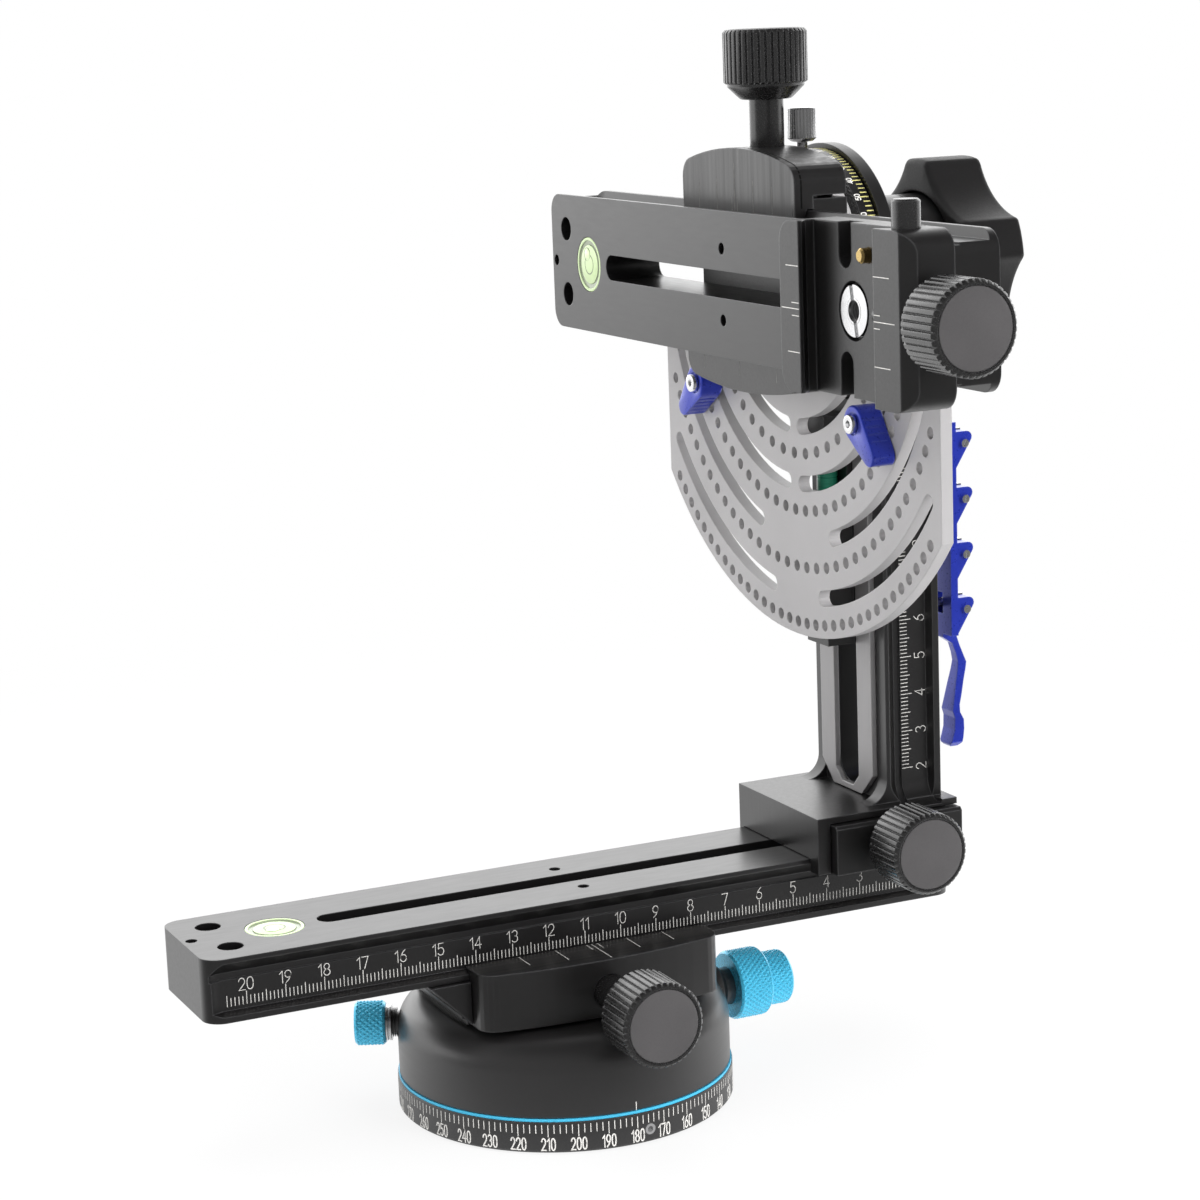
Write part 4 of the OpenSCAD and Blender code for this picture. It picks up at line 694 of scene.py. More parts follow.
NODES_OF_FINISH = {
    "spun_black": ("base_plate", "degree_ring", "drum_shell", "plunger_barrel"),
    "steel": ("tripod_bush", "index_plunger", "clamp_base_screws", "lower_guide_pins", "foot_guide_pins",
              "clamp_stud", "lever_pin", "detent_pin_1", "detent_pin_2", "detent_pin_3", "detent_pin_4",
              "upper_guide_pins", "thumbscrew", "quick_guide_pins"),
    "steel_bright": ("ring_set_screw", "lever_screws", "stop_screw_left", "stop_screw_right",
                     "quick_clamp_screw"),
    "steel_dark": ("index_ring", "pan_lock_screw"),
    "washer_cyan": ("friction_washer",),
    "cyan_anodised": ("selector_knob", "release_knob", "pan_lock_knob"),
    "brass": ("pan_lock_shoe", "safety_pin"),
    "clamp_black": ("clamp_base", "foot_jaw", "upper_clamp", "quick_clamp", "quick_jaw"),
    "lower_jaw_black": ("lower_jaw",),
    "knob_black": ("lower_jaw_knob", "foot_knob", "upper_knob", "release_button", "quick_knob"),
    "rail_black_x": ("lower_rail",),
    "level_liquid": ("lower_level", "camera_level"),
    "column_black": ("column",),
    "liner_grey": ("slot_liner",),
    "dial_black": ("stator", "clamp_hub", "tilt_hub", "dial_ring"),
    "mount_black": ("detent_housing",),
    "barrel_green": ("detent_collar",),
    "grip_black": ("lobed_knob",),
    "blue_anodised": ("detent_lever", "stop_lever_left", "stop_lever_right"),
    "plate_grey": ("index_plate",),
    "jaw_black": ("upper_jaw",),
    "rail_black_y": ("camera_rail",),
}


# Operators, one for each group of pieces


class MakeFinishes(bpy.types.Operator):
    """Makes the finishes and gives each CAD node its own"""

    bl_idname = "tripod_head.finishes"
    bl_label = "Finishes"

    def execute(self, context):
        make_finishes(context.scene.head_colours, context.scene.head_sizes)
        finish_of = {node: name for name, nodes in NODES_OF_FINISH.items() for node in nodes}
        for name, node in frame["nodes"].items():
            wanted = finish(finish_of[name])
            if not node.material_slots:
                raise RuntimeError(f"{name} has no material slot")
            for slot in node.material_slots:
                slot.material = wanted
        return {"FINISHED"}


class MakeRailScales(bpy.types.Operator):
    """Engraves the centimetre scales on the lower rail and on the column"""

    bl_idname = "tripod_head.rail_scales"
    bl_label = "Rail scales"

    def execute(self, context):
        sizes = context.scene.head_sizes
        proud = sizes.line_proud / MM
        for side, name in ((-1, "front"), (1, "back")):
            drawn = centimetre_scale(range(1, 21), -side * SCALE_ZERO_X, side, 4, 205, 1, 3.6, sizes)
            place = Place((0, side * RAIL_BAND_Y, 44.6), side * Y, -side * X)
            piece(f"rail_scale_{name}", "lower_rail", drawn.shape(on_plane(place), proud), "line_white")
            drawn = centimetre_scale(range(2, 15), -side * COLUMN_ZERO_Z, -side, 20, 145, -1, -7.3, sizes)
            place = Place((93.6, side * RAIL_BAND_Y, 0), side * Y, -side * Z)
            piece(f"column_scale_{name}", "column", drawn.shape(on_plane(place), proud), "line_white")
        return {"FINISHED"}


class MakeTurntableScale(bpy.types.Operator):
    """Engraves the degrees round the base ring and the index line on the drum"""

    bl_idname = "tripod_head.turntable_scale"
    bl_label = "Turntable scale"

    def execute(self, context):
        sizes = context.scene.head_sizes
        proud, tall = sizes.line_proud / MM, sizes.ring_numeral_height / MM
        drawn = Engraving()
        arc = math.radians(1) * RING_R
        for degree in range(0, 360, 2):
            s = -(degree - 180) * arc
            drawn.line([(s, 4.3 if degree % 10 == 0 else 5.2), (s, 7.25)], 0.2)
        for degree in range(0, 360, 10):
            drawn.number(str(degree), -(degree - 180) * arc, 0.78, tall, 1.0, 0.42, 0.34)
        piece("degree_scale", "base", drawn.shape(on_round(Place((0, 0, 0), Z, -Y), RING_R), proud),
              "line_bright")
        drawn = Engraving()
        drawn.line([(0, 8.95), (0, 10.9)], 0.22)
        piece("drum_index_line", "drum", drawn.shape(on_round(Place((0, 0, 0), Z, -Y), DRUM_R), proud),
              "line_bright")
        return {"FINISHED"}


class MakeTiltDial(bpy.types.Operator):
    """Engraves the tilt dial and gives its flange a dimpled grip"""

    bl_idname = "tripod_head.tilt_dial"
    bl_label = "Tilt dial"

    def execute(self, context):
        sizes = context.scene.head_sizes
        proud = sizes.line_proud / MM
        place = Place((DIAL_BACK_X, 0, TILT_Z), -X, Z)
        arc = math.radians(1) * DIAL_R
        ticks, numerals = Engraving(), Engraving()
        for step in range(-72, 72):
            s = 2.5 * step * arc
            ticks.line([(s, 0.25), (s, 2.3 if step % 4 == 0 else 1.8)], 0.34)
        for degree in range(-170, 181, 10):
            numerals.number(str(abs(degree)), degree * arc, 2.45, 1.45, 0.75, 0.32, 0.26)
        for name, drawn, colour in (("dial_divisions", ticks, "line_yellow"),
                                    ("dial_numerals", numerals, "line_bright")):
            piece(name, "tilt_head", drawn.shape(on_round(place, DIAL_R), proud), colour)
        angles = around(720)
        across = np.linspace(0, 1, 25)
        wave = np.sin(np.pi * across) ** 0.3
        height = GRIP_X + GRIP_WIDTH * across

        def dimples(radii, heights, turn):
            """Staggered oval dimples: the product of two sine waves, one round the flange and one across it."""
            row = (heights - GRIP_X) / GRIP_ROW
            pit = np.sin(turn * GRIP_DIMPLES + np.pi * np.floor(row)) * np.abs(np.sin(np.pi * row))
            return radii - np.where(radii > DIAL_R, GRIP_DEPTH * np.clip(pit, 0, 1), 0)

        profile = np.vstack([np.stack([DIAL_R + 0.02 + GRIP_DEPTH * wave, height], 1),
                             [(DIAL_R - 0.4, height[-1]), (DIAL_R - 0.4, height[0])]])
        piece("dial_grip", "tilt_head",
              turned(Place((0, 0, TILT_Z), X, Y), angles, *rows_of(profile, angles, dimples), closed=True),
              "knob_black")
        return {"FINISHED"}


def bowed_outline(half, reach, bow_r, corner, inner):
    """The outline of a jaw: straight sides, rounded corners and a bowed edge at -reach, as in the CAD."""
    c = reach - bow_r
    cx = half - corner
    cy = -c - math.sqrt((bow_r - corner) ** 2 - cx * cx)
    a = math.degrees(math.atan2(-c - cy, cx))
    edge = bow(0, -c, bow_r, bow_r, a - 180, -a, 40)
    return np.vstack([[(half, -inner)], bow(cx, cy, corner, corner, 0, -a, 8), edge[::-1][1:-1],
                      bow(-cx, cy, corner, corner, a - 180, -180, 8), [(-half, -inner)]])


class MakeClampLines(bpy.types.Operator):
    """Engraves the index lines on the jaws and the quick clamp, and paints shade into the seam behind the upper
    jaw's lip
    """

    bl_idname = "tripod_head.clamp_lines"
    bl_label = "Clamp lines"

    def execute(self, context):
        sizes = context.scene.head_sizes
        proud, width = sizes.line_proud / MM, sizes.scale_line / MM
        pattern = ((1.3, 29.1), (-0.1, 20.7), (2.85, 20.7), (-8.7, 25.0), (11.1, 25.0), (-18.8, 23.9),
                   (21.2, 23.9))
        lower, upper, lip = Engraving(), Engraving(), Engraving()
        for along, reach in pattern:
            lower.line([(along, -16.8), (along, -reach)], width)
            upper.line([(along, 17.2), (along, reach)], width)
        for along in (1.3, -18.8, 21.2):
            lip.line([(along, -19.2), (along, -25.0)], width)
        for name, body, drawn, place, colour in (
                ("lower_jaw_lines", "lower_jaw", lower, Place((0, 0, CLAMP_TOP_Z), Z, X), "line_white"),
                ("upper_jaw_lines", "upper_jaw", upper, Place((JAW_FACE_X, 0, TILT_Z), -X, -Y), "line_faint"),
                ("upper_lip_lines", "tilt_head", lip, Place((JAW_FACE_X, 0, TILT_Z), -X, -Y), "line_faint")):
            if body != "lower_jaw":
                drawn.strokes = [(path * [-1, 1], w) for path, w in drawn.strokes]
            piece(name, body, drawn.shape(on_plane(place), proud), colour)
        far, near = Engraving(), Engraving()
        for z, start in ((217.5, -69.3), (209.0, -71.7), (207.6, -66.9), (206.0, -71.8), (197.5, -69.5)):
            far.line([(-start, z - TILT_Z), (75.0, z - TILT_Z)], width)
        for z, end in ((217.4, -116.2), (208.95, -112.0), (207.5, -118.3), (206.0, -111.9), (197.5, -116.2)):
            near.line([(109.5, z - TILT_Z), (-end, z - TILT_Z)], width)
        place = Place((QUICK_FACE_X, 0, TILT_Z), -X, -Y)
        for name, body, drawn in (("quick_clamp_lines", "camera_rail", far),
                                  ("quick_jaw_lines", "quick_jaw", near)):
            piece(name, body, drawn.shape(on_plane(place), proud), "line_bright")
        # A near-black strip along the jaw's outline: painted shade inside the seam behind the lip
        outline = bowed_outline(30.6, 33.0, 110.0, 5.0, 18.9)
        put, length = on_outline(Place((62.65, 0, TILT_Z), -X, -Y), outline * [1, -1])
        seam_shade = Engraving()
        seam_shade.line(np.stack([np.linspace(0.3, length - 0.3, 80), np.full(80, 3.2)], 1), 0.45)
        piece("upper_jaw_seam_shade", "upper_jaw", seam_shade.shape(put, proud), "seam_black")
        return {"FINISHED"}


class MakeClampKnobs(bpy.types.Operator):
    """Turns the four ribbed clamp knobs with their shafts and matt caps"""

    bl_idname = "tripod_head.clamp_knobs"
    bl_label = "Clamp knobs"

    def execute(self, context):
        sizes = context.scene.head_sizes
        for node, body, origin, out, across, shaft, thread_r, thread in (
                ("lower_jaw_knob", "lower_knob", (0, -30.3, 36.0), -Y, X, 13.1, 3.0, 30),
                ("foot_knob", "foot_knob", (85.5, -26.0, 61.5), -Y, X, 0.4, 3.0, 30),
                ("upper_knob", "upper_knob", (66.65, 0, TILT_Z + 33.0), Z, X, None, 3.0, 30),
                ("quick_knob", "quick_knob", (40.2, -123.5, TILT_Z), -Y, X, 0.4, 2.5, 22)):
            low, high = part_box(node)
            if shaft is None:
                shaft = high.z / MM - origin[2] - CLAMP_KNOB_LENGTH
            self.knob(node, body, Place(origin, out, across), shaft, thread_r, thread, sizes)
        return {"FINISHED"}

    def knob(self, node, body, place, shaft, thread_r, thread, sizes):
        """One knob: screw, shaft, cone, ribbed barrel with a chamfered cap, and a groove round the matt face."""
        deep = sizes.rib_depth / MM
        barrel, top, r = shaft + 4.0, shaft + CLAMP_KNOB_LENGTH, CLAMP_KNOB_R
        screw = eased([(0, -thread), (thread_r, -thread), (thread_r, -1), (4.4, -1), (4.4, shaft), (6.3, shaft),
                       (6.9, shaft + 0.4), (9.9, barrel - 0.7), (9.9, barrel), (10.2, barrel)], 0.25, 2)
        side = eased([(10.2, barrel), (r, barrel + 0.4), (r, top - 0.85), (9.95, top), (9.45, top),
                      (9.42, top - 0.3), (9.12, top - 0.3), (9.1, top - 0.04), (8.6, top), (4.0, top - 0.05),
                      (0, top - 0.06)], 0.16, 3)
        profile = np.vstack([screw, side[1:]])
        angles = around(sizes.knob_ribs * 10)

        def ribbed(radii, heights, turn):
            """Over the barrel the radius is no more than the barrel's own less the groove's depth there."""
            groove = r - deep * ribs(turn, sizes.knob_ribs)
            return np.where(heights >= barrel - 0.01, np.minimum(radii, groove), radii)

        radii, heights = rows_of(profile, angles, ribbed)
        radii[0], radii[-1] = 0, 0
        shape = turned(place, angles, radii, heights)
        n = len(angles)
        middle = (radii[1:-2, 0] + radii[2:-1, 0]) / 2
        rise = (heights[1:-2, 0] + heights[2:-1, 0]) / 2
        matt = ((middle < 9.13) & (rise > top - 0.5)).astype(int)
        bands = [np.repeat(matt, n), np.concatenate([np.zeros(n, int), np.ones(n, int)])]
        piece(f"{node}_turned", body, shape, ("knob_black", "cap_black"), bands, replaces=[node])


class MakePanControls(bpy.types.Operator):
    """Knurls the turntable's selector, release and lock knobs, and cuts the lock's thread"""

    bl_idname = "tripod_head.pan_controls"
    bl_label = "Turntable controls"

    def execute(self, context):
        sizes = context.scene.head_sizes
        pitch, deep = sizes.knurl_pitch / MM, sizes.knurl_depth / MM
        plunger = Place((0, 0, PLUNGER_Z), X, Y)
        c, sn = math.cos(LOCK_ANGLE), math.sin(LOCK_ANGLE)
        lock = Place((0, 0, LOCK_Z), (c, sn, 0), (-sn, c, 0))
        for node, body, place, r, start, end, inside in (
                ("selector_knob", "selector", plunger, 9.25, 48.0, 57.5,
                 [(7.6, 57.5), (7.6, 54.4), (5.05, 54.4), (5.05, 48.0)]),
                ("release_knob", "plunger", plunger, 7.3, 57.65, 64.65, None),
                ("pan_lock_knob", "pan_lock", lock, 5.8, 46.1, 54.1, None)):
            count = max(12, round(2 * math.pi * r / pitch))
            rows = np.linspace(start + 0.75, end - 0.75, max(12, int((end - start) / pitch * 8)))
            edge = 0.7
            outer = np.vstack([[(r - edge, start), (r - 0.2, start + edge - 0.12)],
                               np.stack([np.full(len(rows), r), rows], 1),
                               [(r - 0.2, end - edge + 0.12), (r - edge, end)]])
            if inside is None:
                dish = [(r - 2.0, end), (r - 2.3, end - 0.35), (1.2, end - 0.35), (0, end - 0.3)]
                profile = np.vstack([[(0, start), (r - 1.6, start)], outer, dish])
            else:
                profile = np.vstack([outer, inside, [(5.05, start), (r - 1.4, start)]])
            angles = around(count * 8)

            def knurled(radii, heights, turn, r=r, count=count, start=start, end=end):
                """Only the outer rows are cut, where the diamonds are low, fading out at the ends."""
                fade = np.clip(np.minimum(heights - start, end - heights) / 0.9, 0, 1)
                cut = deep * (1 - diamonds(turn, heights, count, pitch * 1.25)) * fade
                return np.where(radii > r - 0.01, radii - cut, radii)

            piece(f"{node}_knurled", body,
                  turned(place, angles, *rows_of(profile, angles, knurled), closed=inside is not None),
                  "cyan_anodised", replaces=[node])
        s = np.linspace(0, 1, 41)
        ridge = 3.5 + 0.35 * np.cos(2 * np.pi * 2.5 * s)
        profile = np.vstack([np.stack([ridge, 43.2 + 1.3 * s], 1), [(3.02, 44.5), (3.02, 43.2)]])
        angles = around(72)
        piece("pan_lock_thread", "pan_lock", turned(lock, angles, *rows_of(profile, angles), closed=True),
              "steel_dark")
        collar = eased([(3.1, 44.55), (4.7, 44.55), (4.7, 45.1), (4.54, 45.2), (4.54, 45.4), (4.7, 45.5),
                        (4.7, 46.05), (3.1, 46.05), (3.1, 44.55)], 0.05, 2)
        piece("pan_lock_collar", "pan_lock", turned(lock, angles, *rows_of(collar[:-1], angles), closed=True),
              "steel")
        return {"FINISHED"}


class MakeLevels(bpy.types.Operator):
    """Makes the two round spirit levels with their rims, domes, rings and bubbles"""

    bl_idname = "tripod_head.levels"
    bl_label = "Spirit levels"

    def execute(self, context):
        for node, body, place, drift in (
                ("camera_level", "camera_rail", Place((CAMERA_FACE_X, 68.2, TILT_Z), -X, -Y), (-1.1, 2.7)),
                ("lower_level", "lower_rail", Place((-76.8, 0, LOWER_RAIL_TOP), Z, X), (-0.9, -1.2))):
            self.level(node, body, place, drift)
        return {"FINISHED"}

    def level(self, node, body, place, drift):
        """A turned cup: rim, sunk channel, and a window that rises 0.18 mm to its middle, with a ring line."""
        angles = around(96)
        dome_r = np.array([5.3, 5.2, 4.6, 4.0, 3.2, 2.78, 2.74, 2.5, 2.46, 2.0, 1.0, 0.0])
        dome_h = -0.22 + 0.18 * (1 - (dome_r / 5.3) ** 2)
        dome_h[6:8] -= 0.03
        profile = np.vstack([[(0, -4.95), (7.2, -4.95), (7.42, -4.7), (7.42, -0.12), (7.3, 0.0), (6.75, 0.0),
                              (6.6, -0.1),
                              (6.5, -0.45), (5.45, -0.5), (5.32, -0.3)], np.stack([dome_r, dome_h], 1)])
        radii, heights = rows_of(profile, angles)
        shape = turned(place, angles, radii, heights)
        middle = (profile[1:-2, 0] + profile[2:-1, 0]) / 2
        kind = np.select([middle > 6.62, middle > 5.31, (middle < 2.77) & (middle > 2.47)], [0, 1, 3], 2)
        n = len(angles)
        bands = [np.repeat(kind, n), np.concatenate([np.zeros(n, int), np.full(n, 2)])]
        piece(f"{node}_vial", body, shape, ("level_rim", "level_wall", "level_liquid", "level_line"),
              bands, smooth=25, replaces=[node])
        off = Place(place.at(*drift, -0.12), place.out, place.across)
        a = np.linspace(-np.pi / 2, np.pi / 2, 13)
        bubble = np.stack([1.75 * np.cos(a), 0.16 * np.sin(a)], 1)
        bubble[[0, -1], 0] = 0
        piece(f"{node}_bubble", body, turned(off, around(40), *rows_of(bubble, around(40))), "level_bubble")
        a = np.linspace(0, 2 * np.pi, 9)[:-1]
        hoop = np.stack([1.78 + 0.09 * np.cos(a), 0.02 + 0.06 * np.sin(a)], 1)
        piece(f"{node}_bubble_edge", body, turned(off, around(40), *rows_of(hoop, around(40)), closed=True),
              "level_line")


class MakeLobedKnob(bpy.types.Operator):
    """Shapes the five-lobed tilt lock knob with round edges and a dished back"""

    bl_idname = "tripod_head.lobed_knob"
    bl_label = "Lobed knob"

    def execute(self, context):
        edge = context.scene.head_sizes.lobe_round / MM
        place = Place((0, 0, TILT_Z), X, -Z)
        angles = around(480)
        lobes = np.full_like(angles, LOBE_R)
        for i in range(5):
            away = (angles - math.radians(-90 - 16 - 36 + 72 * i) + np.pi) % (2 * np.pi) - np.pi
            inside = VALLEY_R ** 2 - (VALLEY_AT * np.sin(away)) ** 2
            cut = VALLEY_AT * np.cos(away) - np.sqrt(np.maximum(inside, 0))
            valley = np.where((inside > 0) & (np.abs(away) < 1.0), cut, 99.0)
            mix = np.clip(0.5 + (lobes - valley) / 3.0, 0, 1)
            lobes = np.minimum(lobes * (1 - mix) + valley * mix - 1.5 * mix * (1 - mix) * 0.5, LOBE_R)
        a = np.linspace(0, np.pi / 2, 7)
        front = np.stack([-edge * (1 - np.sin(a)), LOBE_X[0] + edge * (1 - np.cos(a))], 1)
        back = np.stack([-edge * (1 - np.cos(a)), LOBE_X[1] - edge * (1 - np.sin(a))], 1)
        sides = np.vstack([front, back])
        outer_r = lobes[None, :] + sides[:, :1]
        outer_h = np.repeat(sides[:, 1:], len(angles), 1)
        hollow = eased([(4.05, 125.05), (4.05, 113.15), (19.2, 113.15), (19.2, 109.5), (20.2, 109.5)], 0.3, 3)
        dish = eased([(19.5, 126.5), (18.6, 126.5), (17.8, 125.9), (9.2, 125.8), (9.0, 126.4), (6.8, 126.4),
                      (6.5, 125.9), (0, 125.9)], 0.3, 3)
        inner_r, inner_h = rows_of(np.vstack([[(0, 125.05)], hollow]), angles)
        cap_r, cap_h = rows_of(dish, angles)
        radii = np.vstack([inner_r, outer_r, cap_r])
        heights = np.vstack([inner_h, outer_h, cap_h])
        piece("lobed_knob_moulded", "lobed_knob", turned(place, angles, radii, heights), "grip_black",
              replaces=["lobed_knob"])
        return {"FINISHED"}


class MakeThumbscrew(bpy.types.Operator):
    """Turns the small ribbed thumbscrew over the tilt dial"""

    bl_idname = "tripod_head.thumbscrew"
    bl_label = "Thumbscrew"

    def execute(self, context):
        sizes = context.scene.head_sizes
        low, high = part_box("thumbscrew")
        z0, top = low.z / MM, high.z / MM
        foot, head_r = top - 8.7, 3.75
        outline = eased([(1.25, z0), (1.25, foot - 2.6), (1.38, foot - 2.5), (1.38, foot), (2.7, foot + 0.1),
                         (head_r, foot + 0.9), (head_r, top - 0.35), (3.4, top), (2.5, top), (2.2, top - 0.1),
                         (0, top - 0.75)], 0.18, 3)
        profile = np.vstack([[(0, z0)], outline])
        profile[-1, 0] = 0
        angles = around(sizes.thumb_ribs * 10)

        def ribbed(radii, heights, turn):
            """Over the head the radius is no more than the head's own less the groove's depth there."""
            groove = head_r - 0.28 * ribs(turn, sizes.thumb_ribs)
            return np.where(heights > foot + 0.05, np.minimum(radii, groove), radii)

        piece("thumbscrew_turned", "thumbscrew",
              turned(Place((76.725, 0, 0), Z, X), angles, *rows_of(profile, angles, ribbed)), "steel",
              replaces=["thumbscrew"])
        return {"FINISHED"}


class MakeStopLevers(bpy.types.Operator):
    """Cuts the two ribbed stop levers and their button-head screws"""

    bl_idname = "tripod_head.stop_levers"
    bl_label = "Stop levers"

    def execute(self, context):
        pitch = context.scene.head_sizes.lever_rib_pitch / MM
        for side, turn_y, angle in (("left", 54.0, 46.5), ("right", -51.8, -44.3)):
            a, t = math.radians(turn_y), math.radians(angle)
            centre = (0, STOP_SLOT_R * math.sin(a), TILT_Z - STOP_SLOT_R * math.cos(a))
            place = Place(centre, X, (0, math.sin(t), -math.cos(t)))
            self.lever(side, place, pitch)
            self.screw(side, place)
        return {"FINISHED"}

    def lever(self, side, place, pitch):
        """A drop round its screw: a big and a small circle joined by tangents, with ribs across the flanks."""
        big, small, length = 4.6, 2.4, 10.6
        angles = around(420)
        th = np.abs((angles + np.pi) % (2 * np.pi) - np.pi)
        a = math.acos((big - small) / length)
        tip = math.atan2(small * math.sin(a), length + small * math.cos(a))
        drop = np.where(th >= a, big, np.where(
            th > tip, big / np.cos(np.clip(th - a, -1.3, 1.3)),
            length * np.cos(th) + np.sqrt(np.maximum(small ** 2 - (length * np.sin(th)) ** 2, 0))))
        along = drop * np.cos(th)
        groove = np.clip((0.5 - np.abs((along / pitch) % 1 - 0.5)) / 0.22, 0, 1)
        cut = 0.34 * (1 - groove * groove * (3 - 2 * groove)) * np.clip((along - 1.2) / 1.0, 0, 1)
        low, high, e = 65.6, 72.1, 0.55
        b = np.linspace(0, np.pi / 2, 5)
        inset = np.concatenate([e * (1 - np.sin(b)), [0, 0, 0], e * (1 - np.cos(b))])
        height = np.concatenate([low + e * (1 - np.cos(b)), [low + 1.0, 68.8, high - 1.0],
                                 high - e * (1 - np.sin(b))])
        ribbed = np.concatenate([np.zeros(5), [1, 1, 1], np.zeros(5)])
        outer = drop[None, :] - inset[:, None] - cut[None, :] * ribbed[:, None]
        hole = np.array([(1.6, high), (1.6, low + 0.5), (2.75, low + 0.45), (2.85, low + 0.05), (3.0, low)])
        inner_r, inner_h = rows_of(hole, angles)
        radii = np.vstack([inner_r, outer])
        heights = np.vstack([inner_h, np.repeat(height[:, None], len(angles), 1)])
        piece(f"stop_lever_{side}_ribbed", f"stop_lever_{side}",
              turned(place, angles, radii, heights, closed=True), "blue_anodised",
              replaces=[f"stop_lever_{side}"])

    def screw(self, side, place):
        """A low head with a hexagon socket, its shank, and a hexagon nut behind the plate."""
        angles = around(96)
        socket, nut = six_sided(angles, 0.9), six_sided(angles, 2.77)
        rows = [(0, 65.1), (socket - 0.02, 65.05), (socket, 64.32), (socket + 0.12, 64.27), (2.1, 64.25),
                (2.3, 64.32),
                (2.4, 64.5), (2.4, 65.55), (1.5, 65.56), (1.5, 75.6), (nut - 0.15, 75.6), (nut, 75.75),
                (nut, 77.1), (nut - 0.2, 77.3), (1.5, 77.3), (1.4, 77.32), (0, 77.32)]
        radii = np.stack([np.broadcast_to(r, angles.shape) for r, _ in rows])
        heights = np.repeat([[h] for _, h in rows], len(angles), 1)
        piece(f"stop_screw_{side}_button", f"stop_screw_{side}", turned(place, angles, radii, heights),
              "steel_bright", replaces=[f"stop_screw_{side}"])


class MakeSmallScrews(bpy.types.Operator):
    """Adds the slotted heads on the index lever and its housing, and the thread in the clamp screw's bore"""

    bl_idname = "tripod_head.small_screws"
    bl_label = "Small screws"

    def execute(self, context):
        shapes = [slotted_disc(Place((120.0, 0, z - 1.3), -Y, X), 1.12, 6.75, 7.0, 0.36, 0.22,
                               math.radians(60 + 20 * i))
                  for i, z in enumerate(PIN_ROWS_Z)]
        piece("lever_screw_slots", "index_lever", joined(shapes), "steel_bright")
        shapes = [slotted_disc(Place((78.0, 0, z), -X, -Y), 1.55, -0.1, 0.3, 0.4, 0.22, math.radians(35 + 50 * i))
                  for i, z in enumerate((139.1, 124.1))]
        piece("housing_screws", "carriage", joined(shapes), "steel_bright")
        angles = around(64)
        s = np.linspace(0, 1, 61)
        thread = np.stack([2.3 - 0.17 * np.cos(2 * np.pi * 8 * s), 40.2 + 5.6 * s], 1)
        profile = np.vstack([[(2.54, 40.2)], thread, [(2.54, 45.8)]])
        piece("clamp_screw_thread", "camera_rail",
              turned(Place((0, -91.0, TILT_Z), X, Y), angles, *rows_of(profile, angles), closed=True),
              "steel_dark")
        return {"FINISHED"}


